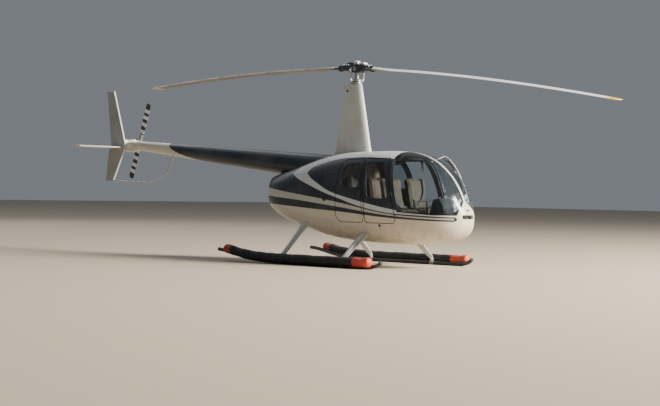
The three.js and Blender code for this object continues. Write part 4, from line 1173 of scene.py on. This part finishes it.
gearboxBlank = moved(turned(gearbox["profile"], 64), at(0, 0, gearbox["z"]) @ alongX)
sleeve = bar(*[(gearbox["shaft"], *place) for place in gearbox["sleeve"]], *gearbox["sleeveRadius"], 48)
shaftBore = bar((gearbox["shaft"], 220, 2106), (gearbox["shaft"], 275, 2106), gearbox["bore"], sides=48)
finSide = block(-6400, -5500, -495, fin["left"] + seam, 1500, 2500)
gearboxShape = outward(carve(gearboxBlank, add=[sleeve], away=[coneHole, shaftBore, finSide]))
ribs = [sleeveRib(y) for y in range(*gearbox["ribs"])]
gearboxBolts = studs([at(gearbox["boltsAt"], 0, gearbox["z"]) @ turning(math.tau * k / gearbox["bolts"], "X")
                      @ at(0, 0, gearbox["boltRing"]) for k in range(gearbox["bolts"])], 7, 8, 6)
finishPiece("tailGearbox", joined(gearboxShape, painted(joined(*ribs), 1), painted(gearboxBolts, 2)),
            "creamPaint castMetal bareMetal", "cream_paint")
tail = {
    "centre": (-5890, 380, 2106), "lean": 19.6,
    # distance from the shaft, chord, thickness
    "rows": [(120.3, 70, 30), (230, 132, 16), (697, 132, 14), (737, 84, 8)],
    "stations": [120.3, 157, 190, 227, 240, 296, 366, 432, 502, 556, 626, 697, 720, 737],
    "marks": [(157, 227), (296, 366), (432, 502), (556, 626)], "points": 32, "chordAhead": 0.2,
}
tailFrame = at(*tail["centre"]) @ turning(math.radians(tail["lean"]), "Y")
tailHub = joined(bar((0, -155, 0), (0, 50, 0), 24, sides=40, edge=3), block(-34, 34, -22, 22, -120, 120, 7, 3),
                 bar((0, 22, 0), (0, 62, 0), 30, sides=6, edge=3), bar((0, -82, 0), (0, -60, 0), 46, sides=40, edge=4),
                 bar((44, -70, 0), (62, -10, 128), 6, sides=12), bar((-44, -70, 0), (-62, -10, -128), 6, sides=12))
finishPiece("tailRotorHub", moved(tailHub, tailFrame), "bareMetal", "bare_metal", "tail_rotor")
for name, turn in (("Upper", 0), ("Lower", math.pi)):
    rings = []
    for r in tail["stations"]:
        chord, thickness = rowAt(tail["rows"], r)
        rings.append([Vector((u + chord * tail["chordAhead"], v, r))
                      for u, v in aerofoil(chord, thickness, tail["points"])])
    tailBlade = loft(rings)
    for face in tailBlade.faces:
        r = face.calc_center_median().z
        face.material_index = 1 if any(low < r < high for low, high in tail["marks"]) else 0
    horn = painted(block(-8, 66, -22, -8, 122, 142, 4), 2)
    finishPiece("tailRotorBlade" + name, moved(joined(tailBlade, horn), tailFrame @ turning(turn, "Y")),
                "blackPaint markWhite bareMetal", "black_paint", "tail_rotor", angle=40)
guard = {"y": -77.5, "radius": 14, "route": [(-4380, 1872), (-4424, 1740), (-4502, 1585), (-4643, 1458),
                                            (-4893, 1363), (-5261, 1335), (-5700, 1338), (-6120, 1362)]}
guardTube = sweptTube([(x, guard["y"], z) for x, z in guard["route"]], guard["radius"], 20)
finishPiece("tailRotorGuard", carve(guardTube, away=[coneHole, finHole]), "bareMetal", "bare_metal")

print("engine bay")
pipeBore = sweptTube(exhaust["route"][1:] + [exhaust["boreEnd"]], exhaust["radius"] - exhaust["wall"], 32)
underEngine = block(-1200, -200, -290, 290, 0, exhaust["top"])
finishPiece("exhaustPipe", carve(sweptTube(exhaust["route"], exhaust["radius"], 32), keep=[underEngine],
                                 away=[pipeBore]), "exhaustSteel", "bare_metal")
fan = {
    "place": (-1290, 0, 1165),
    "profile": [(0, 389.7), (60, 389.7), (60, 40), (200, 60), (228, 52), (235, 20), (235, -160), (226, -180),
                (205, -190), (150, -190), (140, -180), (135, -160), (175, -130), (175, -20), (70, 0), (60, -170),
                (0, -200)],
    "blades": 18,
}
fanBlades = [moved(block(72, 172, -2, 2, -120, -8, 1.5, 2), turning(math.tau * k / fan["blades"], "Z"))
             for k in range(fan["blades"])]
finishPiece("fanHousing", moved(joined(turned(fan["profile"], 64), painted(joined(*fanBlades), 1)),
                                at(*fan["place"]) @ alongX), "silverPaint bareMetal", "silver_paint")
engineSlots = frame["nodes"]["engine_block"].data.materials
engineSlots.clear()
engineSlots.append(materials["castMetal"])

print("landing gear")
skid = {
    "y": 1090, "radius": 31,
    "route": [(1565, 173), (1500, 126), (1400, 97), (1240, 87), (980, 86), (700, 86), (0, 86), (-500, 86), (-740, 88),
              (-1050, 100), (-1420, 138), (-1860, 222), (-2030, 240)],
    # the foot clamps: height, radius, half length, and how far each stands from the leg
    "clampZ": 90.4, "clampRadius": 35, "clampHalf": 14, "clampOff": 24,
}


def gearLeg(x, side, topY, topZ, chord):
    # A leg's fairing, from inside the belly down to the skid
    top, foot = Vector((x, side * (topY - 60), topZ + 40)), Vector((x, side * legs["footY"], legs["footZ"]))
    across = Vector((1, 0, 0)).cross((foot - top).normalized()).normalized()
    neck = (chord + legs["footChord"]) * 0.47
    widths = ((0, chord * 1.1), (0.15, (chord * 1.1 + neck) / 2), (0.3, neck),
              (0.65, (neck + legs["footChord"]) / 2), (1, legs["footChord"]))
    rings = []
    for share, width in widths:
        rings.append([top.lerp(foot, share) + Vector((u * width / 2 - width * 0.06, 0, 0))
                      + across * (s * legs["thickness"] * (0.72 + 0.28 * u) / 2)
                      for u, s in roundPlaces(legs["points"])])
    return loft(rings)


for name, (x, tubeZ, topY, topZ, chord) in gearFrames.items():
    fairings = [carve(gearLeg(x, side, topY, topZ, chord), away=[skin[-0.3]]) for side in (-1, 1)]
    clamps = [bar((middle - skid["clampHalf"], side * skid["y"], skid["clampZ"]),
                  (middle + skid["clampHalf"], side * skid["y"], skid["clampZ"]), skid["clampRadius"], sides=32, edge=4)
              for side in (-1, 1) for middle in (x - skid["clampOff"], x + skid["clampOff"])]
    finishPiece("landingGear" + name.capitalize(),
                joined(painted(joined(*fairings), 0), painted(gearTube(x, tubeZ, topY, topZ, legs["tube"]), 0),
                       painted(joined(*clamps), 1)), "silverPaint greyPaint", "silver_paint")
floats = {"outboard": 85, "above": 68, "radius": 78, "straps": 9, "strapHalf": 16, "stations": 150, "points": 40,
          "frontEnd": 320, "rearEnd": 195, "start": (1425, 98), "end": (-1800, 209), "length": 3200, "closeOver": 70,
          "strapPinch": 0.10, "foldDepth": 0.018, "sag": 0.02}


def alongRoute(points, share):
    return springPoint(points, share * (len(points) - 1))


def aheadOn(route, share):
    return (alongRoute(route, min(share + 0.002, 1)) - alongRoute(route, max(share - 0.002, 0))).normalized()


def floatShape(route, side):
    # A folded bag laced into its cover: drawn in at each strap, full between them, sagging a little
    rings = []
    for station in range(floats["stations"] + 1):
        share = station / floats["stations"]
        middle = alongRoute(route, share)
        up = Vector((0, 1, 0)).cross(aheadOn(route, share)).normalized()
        up = up if up.z > 0 else -up
        fromEnd = min(share, 1 - share) * floats["length"]
        closing = math.sqrt(max(1 - (1 - min(fromEnd / floats["closeOver"], 1)) ** 2, 0.02))
        bay = share * (floats["straps"] + 1)
        full = 1 - floats["strapPinch"] * math.exp(-((bay - round(bay)) * 5) ** 2)
        ring = []
        for index in range(floats["points"]):
            angle = math.tau * index / floats["points"]
            c, s = math.cos(angle), math.sin(angle)
            fold = 1 + floats["foldDepth"] * (math.sin(5 * angle + 9 * share * math.tau)
                                              * math.sin(23 * share * math.tau + side))
            reach = floats["radius"] * closing * full * fold * (0.985 - floats["sag"] * s)
            ring.append(middle + Vector((0, 1, 0)) * reach * c + up * reach * s)
        rings.append(ring)
    shape = loft(rings)
    # Both ends are orange; the rear end takes a darker copy of that orange, painted shade
    front, rear = route[0].x - floats["frontEnd"], route[-1].x + floats["rearEnd"]
    for face in shape.faces:
        x = face.calc_center_median().x
        face.material_index = 1 if x > front else 2 if x < rear else 0
    return shape


def floatStraps(route):
    # A strap round each narrow place
    parts = []
    half, reach = floats["strapHalf"], floats["radius"] * 0.9
    for bay in range(2, floats["straps"] + 1):
        share = bay / (floats["straps"] + 1)
        ring = turned([(reach - 4, -half), (reach + 1.5, -half), (reach + 2.5, 0), (reach + 1.5, half),
                       (reach - 4, half), (reach - 4, -half)], 40)
        facing = aheadOn(route, share).to_track_quat("Z", "Y").to_matrix().to_4x4()
        parts.append(moved(ring, Matrix.Translation(alongRoute(route, share)) @ facing))
    return joined(*parts)


for name, side in sides.items():
    y = side * skid["y"]
    route = [(x, y, z) for x, z in skid["route"]]
    tube = joined(sweptTube(route, skid["radius"], 32), bar((1568, y, 175), (1560, y, 169), 30, sides=32, edge=3))
    finishPiece("skidTube" + name, tube, "blackPaint", "black_paint")
    middle = [point for point in skid["route"] if -1500 < point[0] < 1300]
    bagRoute = [Vector((x, side * (skid["y"] + floats["outboard"]), z + floats["above"]))
                for x, z in [floats["start"], *middle, floats["end"]]]
    bagHoles = [asObject(sweptTube(route, skid["radius"] + 1, 24))] + gearTools(2)
    finishPiece("floatPack" + name, carve(floatShape(bagRoute, side), away=bagHoles),
                "floatFabric orangeFabric redFabric", "float_cover", angle=60)
    finishPiece("floatStraps" + name, carve(floatStraps(bagRoute), away=bagHoles), "blackRubber")

print("cabin inside")
floorTop = 640
finishPiece("cabinFloor", carve(skin[36], keep=[slab(120, 2060, floorTop - 34, floorTop)]), "carpet", "interior_trim")
finishPiece("firewall", carve(skin[36], keep=[slab(84, 116, 300, 2500)]), "rearTrim", "interior_trim")
for name, x0, x1, half, top in (("Front", 1030, 1480, 552, 862), ("Rear", 116.3, 690, 545, 880)):
    finishPiece("seatBox" + name, carve(block(x0, x1, -half, half, floorTop + seam, top, 9), keep=[skin[42]]),
                "trimPlastic", "interior_trim")
seats = {
    # side outlines of the seat and of the back, and how far the cushion reaches across
    "Front": {"base": [(1472, 862.5), (1486, 945), (1150, 962), (1062, 862.5)],
              "back": [(1140, 966), (1040, 1490), (950, 1478), (1046, 862.5)], "across": (45, 535)},
    "Rear": {"base": [(682, 880.5), (694, 968), (338, 985), (250, 880.5)],
             "back": [(328, 990), (232, 1500), (140, 1490), (140, 880.5)], "across": (35, 455)},
    "start": 12, "corner": 30, "edge": 22, "voxel": 0.010, "frames": 20, "pressure": 4.0, "mostMove": 0.026,
    "cornerDrop": 0.035, "channelAt": 0.42, "channelDepth": 0.006, "channelHalf": 0.009, "fill": 0.8,
}


def makeCushion(outline, y0, y1):
    # A padded form, blown up as cloth from a slightly smaller blank
    start = seats["start"]
    shape = softRims(sidePrism(outline, seats["corner"], -start, y0 + start, y1 - start), seats["edge"], 3)
    pad = asObject(moved(shape, Matrix.Scale(0.001, 4)))
    remesh = pad.modifiers.new("remesh", "REMESH")
    remesh.mode = "VOXEL"
    remesh.voxel_size = seats["voxel"]
    pad = applied(pad)
    low, high = (edge(corner.co.z for corner in pad.data.vertices) for edge in (min, max))
    middle, half = (y0 + y1) / 2000, (y1 - y0) / 2000
    for corner in pad.data.vertices:
        # the top corners fall away
        share = abs(corner.co.y - middle) / half
        corner.co.z -= seats["cornerDrop"] * min(share, 1) ** 4 * (corner.co.z - low) / (high - low)
    before = [corner.co.copy() for corner in pad.data.vertices]
    cloth = pad.modifiers.new("cloth", "CLOTH")
    cloth.settings.use_pressure = True
    cloth.settings.uniform_pressure_force = seats["pressure"]
    cloth.settings.effector_weights.gravity = 0
    scene = bpy.context.scene
    for step in range(1, seats["frames"] + 1):
        scene.frame_set(step)
    pad = applied(pad)
    scene.frame_set(1)
    for corner, first in zip(pad.data.vertices, before):
        away = corner.co - first
        if away.length > seats["mostMove"]:
            corner.co = first + away * (seats["mostMove"] / away.length)
    smooth = pad.modifiers.new("smooth", "SUBSURF")
    smooth.levels = smooth.render_levels = 1
    shape = asShape(applied(pad))
    shape.normal_update()
    for corner in shape.verts:
        # sewn channels
        off = min(abs(corner.co.y - middle - side * half * seats["channelAt"]) for side in (-1, 1))
        corner.co -= corner.normal * seats["channelDepth"] * math.exp(-(off / seats["channelHalf"]) ** 2)
    return moved(shape, Matrix.Scale(1000, 4))


for row in ("Front", "Rear"):
    pads = [makeCushion(seats[row][part], *seats[row]["across"]) for part in ("base", "back")]
    for name, side in sides.items():
        both = joined(*[part.copy() for part in pads])
        if side < 0:
            moved(both, Matrix.Scale(-1, 4, (0, 1, 0)))
            bmesh.ops.reverse_faces(both, faces=both.faces)
        cushion = finishPiece("seat" + row + name, both, "seatLeather", "seat_leather", angle=80)
    for part in pads:
        part.free()
console = {"edge": [(1610, 640.3), (1668, 880), (1748, 1118), (1868, 1150), (1952, 1010), (1965, 640.3)], "half": 135,
           "corner": 24, "lip": 9}
consoleShape = sidePrism(console["edge"], console["corner"], 0.0, -console["half"], console["half"])
finishPiece("instrumentConsole", softRims(consoleShape, console["lip"], 3), "trimPlastic", "interior_trim")
stick = joined(
    bar((1545, 0, 641.3), (1520, 0, 1105), 19, 15, 28), bar((1520, -300, 1085), (1520, 300, 1125), 13, edge=2),
    bar((1545, 0, 641.3), (1544, 0, 672), 44, 22, 32), bar((1524, -296, 965), (1510, -300, 1120), 17, 19, edge=6),
    bar((1524, 296, 1005), (1510, 300, 1160), 17, 19, edge=6))
finishPiece("cyclicStick", stick, "blackPaint", "black_paint")
pedalParts = [bar((1985, -345, 656), (1985, 345, 656), 15.5, edge=2)]
for y in (-300, -130, 130, 300):
    pedalParts += [bar((1985, y, 656), (2010, y, 800), 9, sides=20), block(2000, 2012, y - 42, y + 42, 770, 860, 4)]
finishPiece("rudderPedals", joined(*pedalParts), "blackPaint", "black_paint")

print("fittings")
# x and height of the small marks seen on the right side
fitting = {"cowlInlet": (-98, 1120), "tubPort": (1093, 708)}
inlet = joined(turned([(38, -4), (50, -4), (52, 2), (48, 6), (42, 6), (38, 2), (38, -4)]),
               turned([(0, -3), (40, -3), (40, 1.5), (0, 1.5)]),
               *[block(-39, 39, y - 1.5, y + 1.5, 1, 5, 0.8, 2) for y in (-24, -12, 0, 12, 24)])
finishPiece("cowlInlet", moved(inlet, onHull(*fitting["cowlInlet"])), "blackRubber")
for name, side in sides.items():
    port = turned([(0, -3), (22, -3), (22, 2), (17, 4), (15, 1), (0, 0.5)])
    finishPiece("tubPort" + name, moved(port, onHull(*fitting["tubPort"], side)), "blackRubber")
for name, door, side, _, swung in sorted(eachDoor(), key=lambda row: row[2]):
    handle = joined(block(-46, 46, -15, 15, -2, 1.5, 1.2, 2), block(-38, 26, -7, 7, 1, 8, 3, 3),
                    painted(bar((35, 0, 0), (35, 0, 5), 7, edge=1.5), 1))
    finishPiece("doorHandle" + name, moved(handle, onHull(*door["handle"], side)), "bodyPaint darkMetal",
                body=cadName("door" + name), paint=True, before=swung)
lamps = {
    "x": 2290, "z": 866, "y": 54, "back": 2258,
    "bowl": [(5, -30), (14, -27), (22, -19), (26, -9), (28, 0), (30, 0), (30, -3), (28, -11), (24, -22), (15, -30),
             (5, -33), (5, -30)],
    "bulb": [(0, -30), (5, -30), (6, -18), (4, -13), (0, -10)],
}
lampParts = [painted(block(lamps["back"] - 6, lamps["back"], -126, 126, 835, 897, 3), 0)]
for y in (-lamps["y"], lamps["y"]):
    lampFrame = at(lamps["x"], y, lamps["z"]) @ alongX
    lampParts += [painted(moved(turned(lamps["bowl"], 40), lampFrame), 1),
                  painted(moved(turned(lamps["bulb"], 24), lampFrame), 2)]
finishPiece("landingLamps", joined(*lampParts), "creamPaint blackPaint bareMetal")

print("panel and belts")
panel = {
    # the console's two faces towards the seats, each by its foot and its top seen from the side
    "face": (console["edge"][1], console["edge"][2]), "lowFace": (console["edge"][0], console["edge"][1]),
    "dials": 36, "smallDials": 24, "columns": (-84, 0, 84), "rows": (50, 134, 200), "boxes": (60, 118, 176),
}


def faceFrame(face, y, along):
    # A matrix on a face of the console, Z towards the seats
    low, high = (Vector((x, 0, z)) for x, z in face)
    up = (high - low).normalized()
    out = Vector((-up.z, 0, up.x))
    return frameOf(up.cross(out), up, out, low + up * along + Vector((0, y, 0)))


def dial(radius, needle):
    bezel = turned([(radius * 0.86, 0), (radius, 0), (radius, 5), (radius * 0.95, 7), (radius * 0.86, 5),
                    (radius * 0.86, 0)], 40)
    face = turned([(0, 1.5), (radius * 0.87, 1.5), (radius * 0.87, 2.2), (0, 2.2)], 40)
    ticks = [moved(block(radius * 0.66, radius * 0.8, -0.8, 0.8, 2.2, 2.9), turning(math.tau * k / 12, "Z"))
             for k in range(12)]
    pointer = moved(block(-radius * 0.15, radius * 0.62, -1.1, 1.1, 2.9, 3.6), turning(needle, "Z"))
    return joined(painted(bezel, 0), painted(face, 1), painted(joined(*ticks, pointer), 2))


panelParts = [painted(moved(block(-126, 126, -4, 246, 0, 3, 4), faceFrame(panel["face"], 0, 0)), 3)]
for row, along in enumerate(panel["rows"]):
    for column, y in enumerate(panel["columns"]):
        size = panel["dials"] if row < 2 else panel["smallDials"]
        panelParts.append(moved(dial(size, 0.7 + 1.3 * row + 0.9 * column),
                                faceFrame(panel["face"], y, along) @ at(0, 0, 3)))
for along in panel["boxes"]:
    knobs = [painted(bar((y, 0, 5), (y, 0, 20), 9, 7.5, 20, 1.5), 0) for y in (-80, 80)]
    box = joined(painted(block(-105, 105, -24, 24, 0, 6, 3), 0), painted(block(-40, 40, -12, 12, 6, 7.5, 1), 1),
                 *knobs)
    panelParts.append(moved(box, faceFrame(panel["lowFace"], 0, along)))
finishPiece("instrumentPanel", joined(*panelParts), "blackPaint dialFace markWhite trimPlastic")
belts = {
    "half": 23, "thick": 1.6, "steps": 28, "anchor": 382,
    # each seat row: x and height of the seat's fold, the buckle's distance from the middle, the anchor's height
    "rows": [(1165, 978, 70, 1700), (372, 996, 60, 1690)],
}


def strap(points, across):
    # Flat webbing along a line of points
    last = belts["steps"]
    smooth = [alongRoute([Vector(point) for point in points], index / last) for index in range(last + 1)]
    width = Vector(across).normalized() * belts["half"]
    rings = []
    for index, place in enumerate(smooth):
        ahead = smooth[min(index + 1, last)] - smooth[max(index - 1, 0)]
        side = (width - ahead * (width.dot(ahead) / ahead.length_squared)).normalized() * belts["half"]
        out = side.cross(ahead).normalized() * belts["thick"]
        rings.append([place + side + out, place - side + out, place - side - out, place + side - out])
    return painted(loft(rings), 0)


beltParts = []
for side in (-1, 1):
    for x, low, inner, top in belts["rows"]:
        back, hook, catch, buckle = x - 85, side * belts["anchor"], side * inner, (x, side * inner, low + 2)
        beltParts += [
            strap([(back, hook, top), (back + 20, side * 400, top - 250), (x - 30, side * 380, low + 222),
                   (x - 6, side * 215, low + 40), buckle], (0, 1, -0.4 * side)),
            strap([(x - 78, side * 505, low - 22), (x - 10, side * 430, low + 6), (x + 4, side * 260, low + 10),
                   buckle], (1, 0, 0)),
            painted(block(x - 30, x + 22, catch - 16, catch + 16, low - 8, low + 12, 5), 1),
            strap([(x - 20, side * 30, low - 60), (x - 8, side * (inner - 22), low - 20), buckle], (1, 0, 0)),
            painted(block(back - 26, back + 26, hook - 12, hook + 12, top - 12, top + 22, 4), 1)]
finishPiece("seatBelts", joined(*beltParts), "beltWebbing blackPaint")

drop(*[made for made in bpy.data.objects if made.name.split(".")[0] == "blank"])
addCamera()
addStudio()
